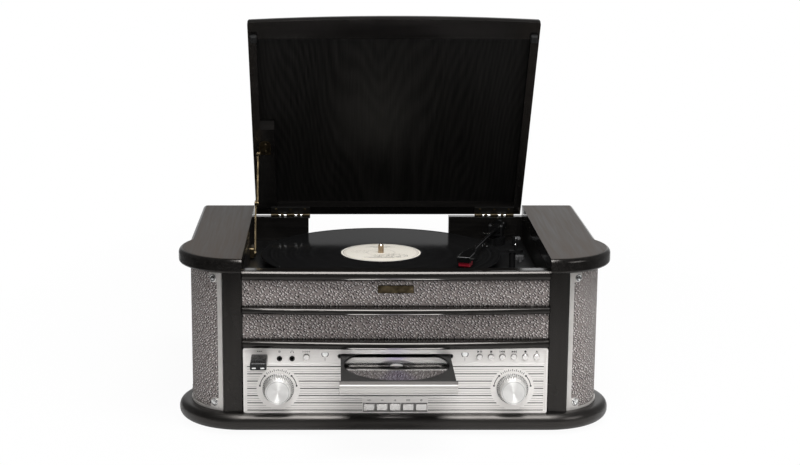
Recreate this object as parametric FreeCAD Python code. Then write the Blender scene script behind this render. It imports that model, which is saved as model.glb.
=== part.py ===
import FreeCAD, Part
import math
import os

# A wooden record player with a lid, a disc drawer and a radio, in millimetres.
# It is drawn with X to the right, Y back from the front of the side boards and Z up from the floor.
# The lid stands open, the drawer is out and the needle is over the outer grooves.

V = FreeCAD.Vector
ORIGIN = V(0, 0, 0)
ALONG_X = V(1, 0, 0)
ALONG_Y = V(0, 1, 0)
ALONG_Z = V(0, 0, 1)

# Fits
SEAT_GAP = 0.3          # between a moving piece and what it passes
RUNNING_FIT = 0.05      # radial, round a pin or shaft
JOIN_GAP = 0.2          # between fixed pieces with curved faces

# Cabinet
CABINET_DEPTH = 320.0
SIDE_BOARD_WIDTH = 65.5 # side board at its straight rear
WALL = 12.0
FOOT_HEIGHT = 5.0
FOOT_RADIUS = 14.0
FOOT_TAPER = 0.85       # foot's sole, as a share of its top
FOOT_INSET_X = 60.0
FOOT_INSET_Y = 45.0
PLINTH_THICKNESS = 20.0
PLINTH_OVERHANG = 5.0   # plinth past the side boards' outline
PLINTH_ROUND = 9.0
TOP_BOARD_THICKNESS = 17.0
TOP_BOARD_RISE = 15.0   # side boards' tops above the top rail
TOP_BOARD_OVERHANG = 3.0
TOP_BOARD_ROUND = 6.0
TOP_BOARD_UNDER_ROUND = 3.0
LOBE_RADIUS = 73.0      # round front of a side board
LOBE_STEP = 2.5         # lobe centre outside the well's side
NOTCH_RADIUS = 16.0     # hollow where a lobe meets the straight side
POD_INSET = 11.0        # speaker pod inside the side board's outline
STILE_WIDTH = 23.5
STILE_THICKNESS = 14.0
STILE_Y = 8.0
STILE_ROUND = 2.0

# Front, from the plinth up
PANEL_HEIGHT = 79.0
RAIL_HEIGHTS = (9.5, 8.0, 12.0)  # low, middle and top rail
RAIL_BOWS = (9.0, 8.0, 2.5)      # bulge of their fronts
CLOTH_HEIGHT = 31.5
RAIL_Y = 3.0
RAIL_ROUND_SHARE = 0.44 # rounding, as a share of a rail's height
CLOTH_Y = 10.0
FRONT_BACK_Y = 20.0     # back of the rails and cloth strips
CLOTH_ROUND = 2.0

# Speaker grilles
GRILLE_STRIP = 6.0      # width of the silver frame's uprights
GRILLE_RIM = 2.6        # height of its top and bottom
GRILLE_DEPTH = 8.0
GRILLE_PROUD = 1.2      # frame proud of the cloth
GRILLE_END_DEG = 112.0  # rear end, from straight ahead
TAB_RADIUS = 5.0
TAB_INSET = 5.5         # screw centre from the frame's uprights
TAB_RISE = 6.9          # and from its top and bottom
SCREW_HEAD_RADIUS = 2.8
SCREW_HEAD_HEIGHT = 1.6
SCREW_DOME = 0.8        # share of a screw head's radius that stays flat
SCREW_SHANK_RADIUS = 1.4
SCREW_SHANK_LENGTH = 6.0
SPEAKER_DEG = 60.0      # where a loudspeaker faces, from straight ahead
SPEAKER_REACH = 43.0    # its front, from the lobe's centre
SPEAKER_DEPTH = 24.0
SPEAKER_MAGNET_RADIUS = 12.5
SPEAKER_PLATE = 3.0
SPEAKER_CUP = 0.4       # magnet's share of a loudspeaker's depth
CONE_MOUTH = 0.85       # cone's mouth, as a share of the loudspeaker's radius
CONE_NECK = 0.7         # its neck, as a share of the magnet's radius
CONE_DEPTH = 11.0
CONE_WALL = 1.2

# Control panel
PANEL_Y = 6.0
PANEL_THICKNESS = 3.0
PANEL_RIM = 2.2         # raised edge
PANEL_RIM_HEIGHT = 1.2
PANEL_CORNER = 2.5
STRIP_HEIGHT = 19.5     # smooth strip along the top, rim included
STRIP_SINK = 0.6        # strip behind the panel's face
STRIP_BEVEL = 1.5
RIB_START = 2.7         # lowest groove above the panel's lower edge
RIB_TOP_GAP = 2.5       # ribs' end below the strip
RIB_PITCH = 2.95
RIB_GROOVE = 0.7
RIB_DEPTH = 0.4
RIB_GROUP = 3           # every so many grooves, a wide and deep one
RIB_MAIN_GROOVE = 1.3
RIB_MAIN_DEPTH = 0.9
KNOB_INSET = 41.0       # from the panel's ends
KNOB_RISE = 30.0        # knob centre above the panel's lower edge
KNOB_CLEAR_RADIUS = 25.5
BUTTON_RADIUS = 3.6
BUTTON_EDGE = 0.6       # bevel round a button's face
BUTTON_PROUD = 1.6
BUTTON_TRAVEL = 1.2
BUTTON_DROP = 11.0      # button centres below the panel's top
BUTTON_INSET = 13.3     # last button from the panel's right end
BUTTON_PITCH = 13.3
BUTTON_NAMES = ("play", "stop", "skip_back", "skip_forward", "record", "drawer")
FUNCTION_INSET = 74.0
BUTTON_FLANGE = 1.2
BUTTON_STEM = 4.0
BUTTON_STEM_RADIUS = 2.0
KEY_WIDTH = 12.7
KEY_HEIGHT = 8.6
KEY_PITCH = 15.3
KEY_RISE = 7.2          # key centres above the panel's lower edge
KEY_PROUD = 1.6
KEY_ROUND = 0.8
KEY_NAMES = ("band", "preset_down", "preset_up", "program", "mute")
KEY_PATCH_WIDTH = 77.0
KEY_PATCH_HEIGHT = 8.5
LENS_STEP = 14.1        # indicator windows beside the slot
LENS_WIDTH = 5.0
LENS_HEIGHT = 2.6
LENS_DROP = 8.3
JACK_DROP = 12.9
AUX_INSET = 42.7
PHONES_INSET = 57.4
JACK_RADIUS = 2.5
JACK_FLANGE_RADIUS = 3.1
JACK_FLANGE = 0.8
JACK_BORE_RADIUS = 1.75
JACK_LENGTH = 15.0
STICK_INSET = 19.5
STICK_DROP = 11.5
STICK_WIDTH = 19.0
STICK_HEIGHT = 8.5
STICK_LENGTH = 39.0
STICK_ROUND = 1.5
PLUG_WIDTH = 12.0
PLUG_HEIGHT = 4.5
PLUG_LENGTH = 12.0
PORT_WALL = 1.0
PORT_SPARE = 1.0        # room behind a plug, and the port's back wall

# Knobs
KNOB_SKIRT_RADIUS = 18.4
KNOB_SKIRT = 3.0
KNOB_SKIRT_BEVEL = 0.6
KNOB_RADIUS = 17.2
KNOB_FACE_RADIUS = 14.2
KNOB_LENGTH = 17.5
KNOB_EDGE = 1.2         # bevel round a knob's face
KNOB_EDGE_STEP = 0.4
KNOB_DISH = 0.8
KNOB_DISH_RADIUS = 10.2
KNURL_COUNT = 36
KNURL_RADIUS = 0.8
KNURL_SINK = 0.4        # depth of the flutes at a knob's skirt
SHAFT_RADIUS = 3.0
SHAFT_DEPTH = 12.0      # shaft inside a knob
POT_RADIUS = 8.5
POT_LENGTH = 9.0
BOARD_THICKNESS = 1.6
BOARD_WIDTH = 80.0
BOARD_HEIGHT = 62.0

# Disc drawer
TRAY_WIDTH = 128.0
TRAY_THICKNESS = 3.7
TRAY_LENGTH = 146.0
TRAY_CORNER = 4.0
TRAY_DROP = 9.0         # tray's top below the panel's top
TRAY_OUT = 103.0        # drawer front's back face ahead of the panel, at rest
SLOT_WIDTH = 135.0
SLOT_ABOVE = 1.6
SLOT_BELOW = 0.5
SLOT_ROUND_SHARE = 0.48 # rounding of the slot's ends, as a share of its height
DISC_RADIUS = 60.0
DISC_HOLE_RADIUS = 7.5
DISC_THICKNESS = 1.2
DISC_SINK = 0.9         # disc's top below the tray's top
DISC_OUT = 37.5         # disc centre ahead of the panel, at rest
DISC_POCKET_CLEARANCE = 1.4
HUB_SLOT_WIDTH = 40.0
HUB_SLOT_LENGTH = 48.0
DRAWER_FRONT_WIDTH = 131.5
DRAWER_FRONT_HEIGHT = 13.0
DRAWER_FRONT_THICKNESS = 6.5
DRAWER_FRONT_BEVEL = 3.0
DRAWER_FRONT_ROUND = 1.0
CHASSIS_WALL = 2.0
CHASSIS_LENGTH = 146.0
CHASSIS_FLOOR_GAP = 4.0
CHASSIS_LEG_RADIUS = 5.0
CHASSIS_LEG_INSET = 12.0
CHASSIS_RUNNER = 6.0    # width of the ledges under the tray
DISC_MOTOR_RADIUS = 14.0
DISC_MOTOR_HEIGHT = 10.0
DISC_HUB_RADIUS = 7.0
DISC_HUB_HEIGHT = 2.5

# Deck and platter
DECK_DROP = 30.0        # deck below the walls' top edge
DECK_THICKNESS = 10.0
DECK_FLOOR = 3.0
SPINDLE_RADIUS = 3.55
SPINDLE_NECK = 0.5      # pin slimmer inside the record and platter
SHAFT_STEP = 0.45       # bearing shaft thicker than the pin
SPINDLE_PROUD = 11.0
SPINDLE_DOME = 1.6
SPINDLE_TIP_RADIUS = 2.1
RECORD_RADIUS = 150.8
RECORD_THICKNESS = 2.0
RECORD_LAND = 0.3       # grooves below the label and rim
RECORD_RIM = 2.5
RECORD_EDGE = 0.6       # bevels of the rim
RECORD_SLOPE = 1.0      # width of the slopes down to the grooves
RECORD_LABEL_RADIUS = 50.8
RECORD_HOLE_CLEARANCE = 0.1
RECORD_RISE = 11.0      # record's top above the deck
RECORD_LEFT_ROOM = 14.2 # record's edge to the well's left wall
RECORD_FRONT_ROOM = 14.8
RECORD_BACK_GAP = 2.92  # record's edge to the back panel's ends
MAT_RADIUS = 95.0
MAT_THICKNESS = 1.5
PLATTER_RADIUS = 98.0
PLATTER_THICKNESS = 4.5
PLATTER_ROUND = 1.2
PLATTER_WELL_CLEARANCE = 4.0
DRUM_RADIUS = 66.0      # belt ring under the platter
DRUM_WALL = 4.0
DRUM_HEIGHT = 7.0
HUB_RADIUS = 9.0
BEARING_RADIUS = 8.0
BEARING_LENGTH = 18.0
MOTOR_DISTANCE = 84.0   # motor axis from the spindle
MOTOR_DEG = 225.0
MOTOR_RADIUS = 16.0
MOTOR_LENGTH = 24.0
MOTOR_SHAFT_RADIUS = 1.0
PULLEY_RADIUS = 6.2
PULLEY_HEIGHT = 6.0
PULLEY_FLANGE = 0.8
BELT_THICKNESS = 0.9
BELT_HEIGHT = 4.0

# Tonearm
ARM_OUTSIDE = 24.91     # arm's pivot outside the record's edge
ARM_RIGHT_ROOM = 38.0   # arm's pivot to the well's right wall
ARM_BACK_ROOM = 36.0    # and to the back panel
ARM_RISE = 24.0         # arm axis above the deck
ARM_PLAY_DEG = 43.85    # arm's turn out from the spindle, as it plays
ARM_LENGTH = 188.0      # pivot to needle
ARM_TUBE_RADIUS = 2.4
ARM_PARK_SWING_DEG = 21.0
ARM_INNER_SWING_DEG = 26.0
ARM_BLOCK_WIDTH = 11.0
ARM_BLOCK_HEIGHT = 10.0
ARM_BLOCK_FRONT = 13.0
ARM_BLOCK_BACK = 10.0
ARM_BLOCK_ROUND = 2.0
WEIGHT_RADIUS = 9.0
WEIGHT_LENGTH = 17.0
WEIGHT_BEVEL = 1.0
WEIGHT_STEM_RADIUS = 3.0
WEIGHT_STEM = 2.0
ARM_PIN_RADIUS = 1.5
YOKE_RADIUS = 12.0
YOKE_FLOOR = 3.5
YOKE_CHEEK = 3.2
YOKE_CHEEK_LENGTH = 12.0
YOKE_CHEEK_ROUND = 3.6
YOKE_TOP = 6.0
YOKE_DROP = 11.0        # yoke floor's top below the arm axis
YOKE_SPIGOT_RADIUS = 5.0
YOKE_SPIGOT = 7.0
ARM_BASE_THICKNESS = 3.0
ARM_BASE_LEFT = 16.0
ARM_BASE_RIGHT_ROOM = 6.0
ARM_BASE_FRONT = 40.0
ARM_BASE_BACK = 18.0
ARM_BASE_CORNER = 6.0
HEADSHELL_LENGTH = 52.0
HEADSHELL_WIDTH = 16.0
HEADSHELL_NECK = 9.6
HEADSHELL_SHOULDER = 22.0
HEADSHELL_TOP = 4.4
HEADSHELL_BOTTOM = 2.6
HEADSHELL_FRONT = 9.0   # headshell past the needle
HEADSHELL_ROUND = 1.6
FINGER_LENGTH = 8.0
FINGER_WIDTH = 7.0
FINGER_THICKNESS = 1.2
FINGER_ROUND = 2.8
CARTRIDGE_WIDTH = 12.6
CARTRIDGE_LENGTH = 25.0
CARTRIDGE_HEIGHT = 6.4
CARTRIDGE_SETBACK = 2.0 # behind the headshell's front
CARTRIDGE_NOSE = 2.0    # bevel under its front
CARTRIDGE_RAKE = 6.0    # slope of its back
NEEDLE_RADIUS = 1.6
NEEDLE_TIP_RADIUS = 0.4
NEEDLE_GAP = 0.6        # needle's tip over the grooves
LIFT_RADIUS = 25.0      # lift bar from the arm's pivot
LIFT_BAR_WIDTH = 4.0
LIFT_BAR_HEIGHT = 2.2
LIFT_BAR_OVERRUN_DEG = 5.0
LIFT_POST_RADIUS = 2.2
LIFT_POST = 13.0
LIFT_BOSS_RADIUS = 4.6
LIFT_BOSS_GAP = 4.0     # guide's top below the lift bar
CUE_RIGHT_ROOM = 12.0
CUE_AHEAD = 10.0        # lever's pivot ahead of the arm's
CUE_RISE = 11.0
CUE_LENGTH = 26.0
CUE_TILT_DEG = 15.0
CUE_HUB_RADIUS = 4.0
CUE_HUB_WIDTH = 4.0
CUE_LUG = 3.0
CUE_ROD_RADIUS = 1.5
CUE_GRIP_RADIUS = 2.6
CUE_GRIP_LENGTH = 9.0
CUE_GRIP_TAPER = 2.7
CUE_GRIP_BEVEL = 1.0
PARK_REACH = 120.0      # arm rest from the arm's pivot
PARK_POST_RADIUS = 4.0
PARK_WIDTH = 9.0
PARK_LENGTH = 8.0
PARK_FLOOR = 2.4
PARK_STOP_WIDTH = 2.2
PARK_STOP_RISE = 3.5
SPEED_RIGHT_ROOM = 16.0
SPEED_AHEAD = 76.0
SPEED_HUB_RADIUS = 7.0
SPEED_HUB_HEIGHT = 4.0
SPEED_HUB_TAPER = 0.7
SPEED_LEVER_LENGTH = 16.0
SPEED_LEVER_WIDTH = 4.5
SPEED_KNOB_HEIGHT = 7.0
SPEED_PIN_RADIUS = 2.5

# Back panel
BACK_GAP_LEAST = 20.0   # half the gap behind a record that stays clear of the back
SOCKET_RISE = 40.0
LINE_OUT_X = 60.0
LINE_OUT_PITCH = 14.0
LINE_OUT_RADIUS = 4.2
LINE_OUT_LENGTH = 8.0
LINE_OUT_BORE_RADIUS = 1.7
INLET_INSET = 28.0
INLET_WIDTH = 20.0
INLET_HEIGHT = 12.0
INLET_DEPTH = 14.0
INLET_WELL = 9.0
INLET_WALL = 1.6
INLET_LOBE_SHARE = 0.8  # lobes' centres from the middle, as a share of their radius
SUPPLY_LEFT_ROOM = 68.0
SUPPLY_BACK_ROOM = 83.0
CORE_WIDTH = 60.0
CORE_HEIGHT = 50.0
CORE_DEPTH = 28.0
CORE_LIMB = 10.0        # width of the core's outer limbs
SUPPLY_FOOT = 3.0
SUPPLY_FOOT_WIDTH = 80.0
COIL_DEPTH = 44.0
COIL_GAP = 1.0          # coil inside the core's window
COIL_ROUND = 4.0

# Lid, drawn closed and then turned open about the hinges
LID_OPEN_DEG = 56.3
HINGE_INSET = 7.0       # hinge axis from the cabinet's back
HINGE_RISE = 3.1        # hinge axis above the walls' top edge
LID_SIDE_GAP = 2.2      # lid inside the well's sides
LID_OVERHANG = 9.2      # front corners ahead of the side boards
LID_BOW = 5.5           # front edge's bulge
LID_BACK = 2.0          # rear edge behind the hinge axis
LID_RECESS = 11.3
LID_BOARD = 3.5
LID_ROUND = 2.8
LID_FRONT_ROUND = 12.0  # rounding of the front's top edge
LID_FRONT_RAIL = 25.0
LID_REAR_RAIL = 14.0
LID_SIDE_RAIL = 10.0
STAY_BLOCK_WIDTH = 18.0
STAY_BLOCK_LENGTH = 146.0
STAY_BLOCK_BEVEL = 8.0
HINGE_LEFT_INSET = 48.0
HINGE_RIGHT_INSET = 37.5
HINGE_LENGTH = 52.0
HINGE_LEAF = 12.0
HINGE_LEAF_THICKNESS = 1.4
HINGE_LEAF_LAP = 0.3    # lid's leaf over its knuckles
HINGE_SINK = 1.8        # depth of a hinge's seat in the back panel
KNUCKLE_RADIUS = 2.5
HINGE_PIN_RADIUS = 1.1
LID_KNUCKLE = 10.5
CABINET_KNUCKLE = 4.0

# Lid stay, folding in a plane beside the well's left wall
STAY_WALL_REACH = 110.0 # wall pivot ahead of the hinge axis
STAY_WALL_RISE = 5.5    # wall pivot above the deck
STAY_LID_REACH = 112.0  # lid pivot from the hinge axis
STAY_LID_DROP = 5.0     # lid pivot below the lid's rim
STAY_BAR = 2.0
STAY_BAR_WIDTH = 6.0
STAY_EYE_RADIUS = 4.2
STAY_PIN_RADIUS = 1.5
STAY_RIVET_RADIUS = 2.4
STAY_PLATE = 1.5
STAY_WALL_PLATE = 4.5   # thickness of the bracket on the well's wall
STAY_PLANE_GAP = 0.5
STAY_FOLD_SHARE = 0.5   # lower arm's share of the stay's length
STAY_PLATE_LENGTH = 22.0
STAY_PLATE_HEIGHT = 14.0
STAY_PLATE_ROUND = 3.0
STAY_FOOT_WIDTH = 15.0
STAY_FOOT_AHEAD = 18.0
STAY_FOOT_ROUND = 6.0

# Worked out from the sizes above
BACK_Y = CABINET_DEPTH - WALL
SPINDLE_Y = FRONT_BACK_Y + RECORD_FRONT_ROOM + RECORD_RADIUS
ARM_Y = BACK_Y - ARM_BACK_ROOM
ARM_BEHIND = ARM_Y - SPINDLE_Y
ARM_BESIDE = math.sqrt((RECORD_RADIUS + ARM_OUTSIDE) ** 2 - ARM_BEHIND ** 2)
HALF_WELL = (RECORD_LEFT_ROOM + RECORD_RADIUS + ARM_BESIDE + ARM_RIGHT_ROOM) / 2
SPINDLE_X = -HALF_WELL + RECORD_LEFT_ROOM + RECORD_RADIUS
ARM_X = HALF_WELL - ARM_RIGHT_ROOM
ARM_REST_DEG = math.degrees(math.atan2(ARM_BESIDE, ARM_BEHIND)) - ARM_PLAY_DEG
SIDE_X = HALF_WELL + SIDE_BOARD_WIDTH
LOBE_X = HALF_WELL + LOBE_STEP
LOBE_CENTRE = V(LOBE_X, LOBE_RADIUS, 0)
POD_RADIUS = LOBE_RADIUS - POD_INSET
PLINTH_TOP = FOOT_HEIGHT + PLINTH_THICKNESS
PANEL_TOP = PLINTH_TOP + PANEL_HEIGHT
WALL_TOP = PANEL_TOP + sum(RAIL_HEIGHTS) + 2 * CLOTH_HEIGHT
BOARD_TOP = WALL_TOP + TOP_BOARD_RISE
SIDE_TOP = BOARD_TOP - TOP_BOARD_THICKNESS
STILE_OUTER = HALF_WELL + STILE_WIDTH
GRILLE_START_DEG = math.degrees(math.asin((STILE_OUTER + JOIN_GAP - LOBE_X) / POD_RADIUS))
DECK_TOP = WALL_TOP - DECK_DROP
DECK_BOTTOM = DECK_TOP - DECK_THICKNESS
DECK_FLOOR_TOP = DECK_BOTTOM + DECK_FLOOR
RECORD_TOP = DECK_TOP + RECORD_RISE
RECORD_BOTTOM = RECORD_TOP - RECORD_THICKNESS
MAT_BOTTOM = RECORD_BOTTOM - MAT_THICKNESS
PLATTER_BOTTOM = MAT_BOTTOM - PLATTER_THICKNESS
SPINDLE = V(SPINDLE_X, SPINDLE_Y, 0)
BACK_GAP_CHORD = (RECORD_RADIUS + RECORD_BACK_GAP) ** 2 - (BACK_Y - SPINDLE_Y) ** 2
BACK_GAP_HALF = math.sqrt(max(BACK_GAP_CHORD, BACK_GAP_LEAST ** 2))
BEARING_SHAFT = SPINDLE_RADIUS + SHAFT_STEP
MOTOR = SPINDLE + V(math.cos(math.radians(MOTOR_DEG)), math.sin(math.radians(MOTOR_DEG)), 0) * MOTOR_DISTANCE
BELT_Z = PLATTER_BOTTOM - DRUM_HEIGHT / 2
ARM_Z = DECK_TOP + ARM_RISE
ARM = V(ARM_X, ARM_Y, ARM_Z)
YOKE_BOTTOM = ARM_Z - YOKE_DROP - YOKE_FLOOR
ARM_BASE_TOP = DECK_TOP + ARM_BASE_THICKNESS
LIFT_TOP = ARM_Z - ARM_TUBE_RADIUS - SEAT_GAP
CUE_X = HALF_WELL - CUE_RIGHT_ROOM
CUE_Y = ARM_Y - CUE_AHEAD
SPEED_X = HALF_WELL - SPEED_RIGHT_ROOM
SPEED_Y = ARM_Y - SPEED_AHEAD
PANEL_BACK_Y = PANEL_Y + PANEL_THICKNESS
STRIP_Y = PANEL_Y + STRIP_SINK
BUTTON_Z = PANEL_TOP - BUTTON_DROP
KNOB_X = HALF_WELL - KNOB_INSET
FUNCTION_X = FUNCTION_INSET - HALF_WELL
LENS_X = SLOT_WIDTH / 2 + LENS_STEP
AUX_X = AUX_INSET - HALF_WELL
PHONES_X = PHONES_INSET - HALF_WELL
STICK_X = STICK_INSET - HALF_WELL
INLET_X = INLET_INSET - HALF_WELL
KNOB_Z = PLINTH_TOP + KNOB_RISE
TRAY_TOP = PANEL_TOP - TRAY_DROP
TRAY_BOTTOM = TRAY_TOP - TRAY_THICKNESS
TRAY_FRONT_Y = PANEL_Y - TRAY_OUT
DISC_Y = PANEL_Y - DISC_OUT
DISC_TOP = TRAY_TOP - DISC_SINK
DISC_BOTTOM = DISC_TOP - DISC_THICKNESS
POCKET_Z = DISC_BOTTOM - JOIN_GAP
HINGE_Y = CABINET_DEPTH - HINGE_INSET
HINGE_Z = WALL_TOP + HINGE_RISE
HINGE = V(0, HINGE_Y, HINGE_Z)
LID_RIM = HINGE_Z + KNUCKLE_RADIUS + HINGE_LEAF_THICKNESS - HINGE_LEAF_LAP
LID_BOARD_Z = LID_RIM + LID_RECESS
LID_REAR_Y = HINGE_Y + LID_BACK
LID_FRONT_Y = -LID_OVERHANG
LID_HALF = HALF_WELL - LID_SIDE_GAP
HINGE_CENTRES_X = (HINGE_LEFT_INSET - HALF_WELL, HALF_WELL - HINGE_RIGHT_INSET)
LID_INNER = LID_HALF - LID_SIDE_RAIL
STAY_LOWER_X = -HALF_WELL + STAY_WALL_PLATE + STAY_PLANE_GAP
STAY_UPPER_X = STAY_LOWER_X + STAY_BAR + STAY_PLANE_GAP
STAY_EAR_X = STAY_UPPER_X + STAY_BAR + STAY_PLANE_GAP
STAY_WALL = V(0, HINGE_Y - STAY_WALL_REACH, DECK_TOP + STAY_WALL_RISE)
STAY_LID = V(0, HINGE_Y - STAY_LID_REACH, LID_RIM - STAY_LID_DROP)

# The part's origin: on the floor, in the middle of the drawer's front and the record's back edge
FRONT_REACH = TRAY_FRONT_Y - DRAWER_FRONT_THICKNESS
BACK_REACH = SPINDLE_Y + RECORD_RADIUS
TO_ORIGIN = V(0, -(FRONT_REACH + BACK_REACH) / 2, 0)


# Shape helpers

def box(x0, x1, y0, y1, z0, z1):
    return Part.makeBox(x1 - x0, y1 - y0, z1 - z0, V(x0, y0, z0))


def rod(radius, start, end):
    return Part.makeCylinder(radius, (end - start).Length, start, end - start)


def at(point, z):
    return V(point.x, point.y, z)


def prism(edges, z0, z1):
    face = Part.Face(Part.Wire(edges))
    face.translate(V(0, 0, z0))
    return face.extrude(V(0, 0, z1 - z0))


def polygon(points):
    closed = list(points) + [points[0]]
    return [Part.LineSegment(a, b).toShape() for a, b in zip(closed, closed[1:])]


def arc(start, middle, end):
    return Part.Arc(start, middle, end).toShape()


def line(start, end):
    return Part.LineSegment(start, end).toShape()


def polar(centre, radius, degrees):
    angle = math.radians(degrees)
    return centre + V(math.cos(angle), math.sin(angle), 0) * radius


def from_ahead(degrees):
    """The plane angle of a direction that is turned to the right from straight ahead."""
    return degrees - 90


def sector(centre, inner, outer, start_deg, end_deg, z0, z1):
    middle = (start_deg + end_deg) / 2
    edges = [
        arc(polar(centre, outer, start_deg), polar(centre, outer, middle), polar(centre, outer, end_deg)),
        line(polar(centre, outer, end_deg), polar(centre, inner, end_deg)),
        arc(polar(centre, inner, end_deg), polar(centre, inner, middle), polar(centre, inner, start_deg)),
        line(polar(centre, inner, start_deg), polar(centre, outer, start_deg)),
    ]
    return prism(edges, z0, z1)


def turned(profile, base=ORIGIN, axis=ALONG_Z):
    """A closed profile of (radius, height) points turned about an axis through base."""
    face = Part.Face(Part.Wire(polygon([V(radius, 0, height) for radius, height in profile])))
    solid = face.revolve(ORIGIN, ALONG_Z, 360)
    place = FreeCAD.Placement(base, FreeCAD.Rotation(ALONG_Z, axis))
    return solid.transformed(place.toMatrix())


def ring(outer, inner, z0, z1, centre=ORIGIN):
    return turned([(inner, z0), (outer, z0), (outer, z1), (inner, z1)], centre)


def spun(shape, centre, axis, degrees):
    copy = shape.copy()
    copy.rotate(centre, axis, degrees)
    return copy


def moved(shape, offset):
    copy = shape.copy()
    copy.translate(offset)
    return copy


def mirrored(shape):
    return shape.mirror(ORIGIN, ALONG_X)


def both_sides(shape):
    return Part.makeCompound([shape, mirrored(shape)])


def joined(first, *others):
    return first.fuse(list(others)).removeSplitter()


def rounded(shape, radius, chosen):
    return shape.makeFillet(radius, [edge for edge in shape.Edges if chosen(edge)])


def is_level(edge):
    return edge.BoundBox.ZLength < 1e-6


def runs_along(edge, direction):
    span = edge.Vertexes[-1].Point - edge.Vertexes[0].Point
    return span.Length > 1e-6 and span.cross(direction).Length < 1e-6


# Cabinet

def side_outline(grow, inner_x, rear_y):
    """Half the cabinet's plan: a round lobe in front, a hollow and a straight side, grown outwards."""
    radius = LOBE_RADIUS + grow
    notch = NOTCH_RADIUS - grow
    side_x = SIDE_X + grow
    reach_x = side_x + notch - LOBE_X
    notch_centre = LOBE_CENTRE + V(reach_x, math.sqrt((radius + notch) ** 2 - reach_x ** 2), 0)
    join_deg = math.degrees(math.atan2(notch_centre.y - LOBE_CENTRE.y, reach_x))
    front = polar(LOBE_CENTRE, radius, -90)
    join = polar(LOBE_CENTRE, radius, join_deg)
    tail = V(side_x, notch_centre.y, 0)
    rear = V(side_x, rear_y, 0)
    inner_rear = V(inner_x, rear_y, 0)
    inner_front = V(inner_x, front.y, 0)
    return [
        line(inner_front, front),
        arc(front, polar(LOBE_CENTRE, radius, (join_deg - 90) / 2), join),
        arc(join, polar(notch_centre, notch, (join_deg + 360) / 2), tail),
        line(tail, rear),
        line(rear, inner_rear),
        line(inner_rear, inner_front),
    ]


def base_plinth():
    half = prism(side_outline(PLINTH_OVERHANG, 0, CABINET_DEPTH), FOOT_HEIGHT, PLINTH_TOP)
    slab = joined(half, mirrored(half))
    return rounded(slab, PLINTH_ROUND, lambda edge: is_level(edge)
                   and edge.CenterOfMass.y < CABINET_DEPTH - 1)


def rubber_feet():
    profile = [(0, 0), (FOOT_RADIUS * FOOT_TAPER, 0), (FOOT_RADIUS, FOOT_HEIGHT), (0, FOOT_HEIGHT)]
    feet = []
    for x in (-SIDE_X + FOOT_INSET_X, SIDE_X - FOOT_INSET_X):
        for y in (FOOT_INSET_Y, CABINET_DEPTH - FOOT_INSET_Y):
            feet.append(turned(profile, V(x, y, 0)))
    return Part.makeCompound(feet)


def top_boards():
    board = prism(side_outline(TOP_BOARD_OVERHANG, HALF_WELL, CABINET_DEPTH), SIDE_TOP, BOARD_TOP)
    for z, radius in ((BOARD_TOP, TOP_BOARD_ROUND), (SIDE_TOP, TOP_BOARD_UNDER_ROUND)):
        board = rounded(board, radius, lambda edge: is_level(edge)
                        and abs(edge.CenterOfMass.z - z) < 0.1
                        and edge.CenterOfMass.x > HALF_WELL + 1
                        and edge.CenterOfMass.y < CABINET_DEPTH - 1)
    return both_sides(board)


def front_stiles():
    stile = box(HALF_WELL, STILE_OUTER, STILE_Y, STILE_Y + STILE_THICKNESS, PLINTH_TOP, SIDE_TOP)
    stile = rounded(stile, STILE_ROUND, lambda edge: runs_along(edge, ALONG_Z)
                    and edge.CenterOfMass.y < STILE_Y + 1)
    return both_sides(stile)


def well_walls():
    wall = box(HALF_WELL, HALF_WELL + WALL, STILE_Y + STILE_THICKNESS, BACK_Y, PLINTH_TOP, SIDE_TOP)
    return both_sides(wall)


def side_walls():
    """The outer walls behind the grilles, following the hollow in the side boards' outline."""
    outer = prism(side_outline(-POD_INSET, HALF_WELL, CABINET_DEPTH), PLINTH_TOP, SIDE_TOP)
    inner = prism(side_outline(-POD_INSET - WALL, 0, CABINET_DEPTH + 1), PLINTH_TOP - 1, SIDE_TOP + 1)
    front = sector(LOBE_CENTRE, 1, 2 * LOBE_RADIUS, from_ahead(-SPEAKER_DEG), from_ahead(GRILLE_END_DEG),
                   PLINTH_TOP - 1, SIDE_TOP + 1)
    return both_sides(outer.cut(inner).cut(front).Solids[0])


def back_panel():
    half = SIDE_X - POD_INSET - WALL - JOIN_GAP
    panel = joined(box(-half, half, BACK_Y, CABINET_DEPTH, PLINTH_TOP, SIDE_TOP),
                   box(-HALF_WELL, HALF_WELL, BACK_Y, CABINET_DEPTH, PLINTH_TOP, WALL_TOP + HINGE_SINK))
    gap = box(SPINDLE_X - BACK_GAP_HALF, SPINDLE_X + BACK_GAP_HALF, BACK_Y - 1, CABINET_DEPTH + 1,
              DECK_TOP, BOARD_TOP)
    panel = panel.cut(gap)
    for x in HINGE_CENTRES_X:
        half = HINGE_LENGTH / 2 + JOIN_GAP
        panel = panel.cut(box(x - half, x + half, BACK_Y - 1, CABINET_DEPTH + 1, WALL_TOP, BOARD_TOP))
    for place in line_out_places():
        panel = panel.cut(rod(LINE_OUT_RADIUS + JOIN_GAP, at_y(place, BACK_Y - 1),
                              at_y(place, CABINET_DEPTH + 1)))
    return panel.cut(inlet_block(JOIN_GAP))


# Front rails, cloth strips and grilles

def bowed_slab(half, front_y, bow, back_y, z0, z1):
    corner = V(half, front_y, 0)
    other = V(-half, front_y, 0)
    edges = [arc(other, V(0, front_y - bow, 0), corner), line(corner, V(half, back_y, 0)),
             line(V(half, back_y, 0), V(-half, back_y, 0)), line(V(-half, back_y, 0), other)]
    return prism(edges, z0, z1)


def rail_bottom(level):
    return PANEL_TOP + sum(RAIL_HEIGHTS[:level]) + level * CLOTH_HEIGHT


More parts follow.
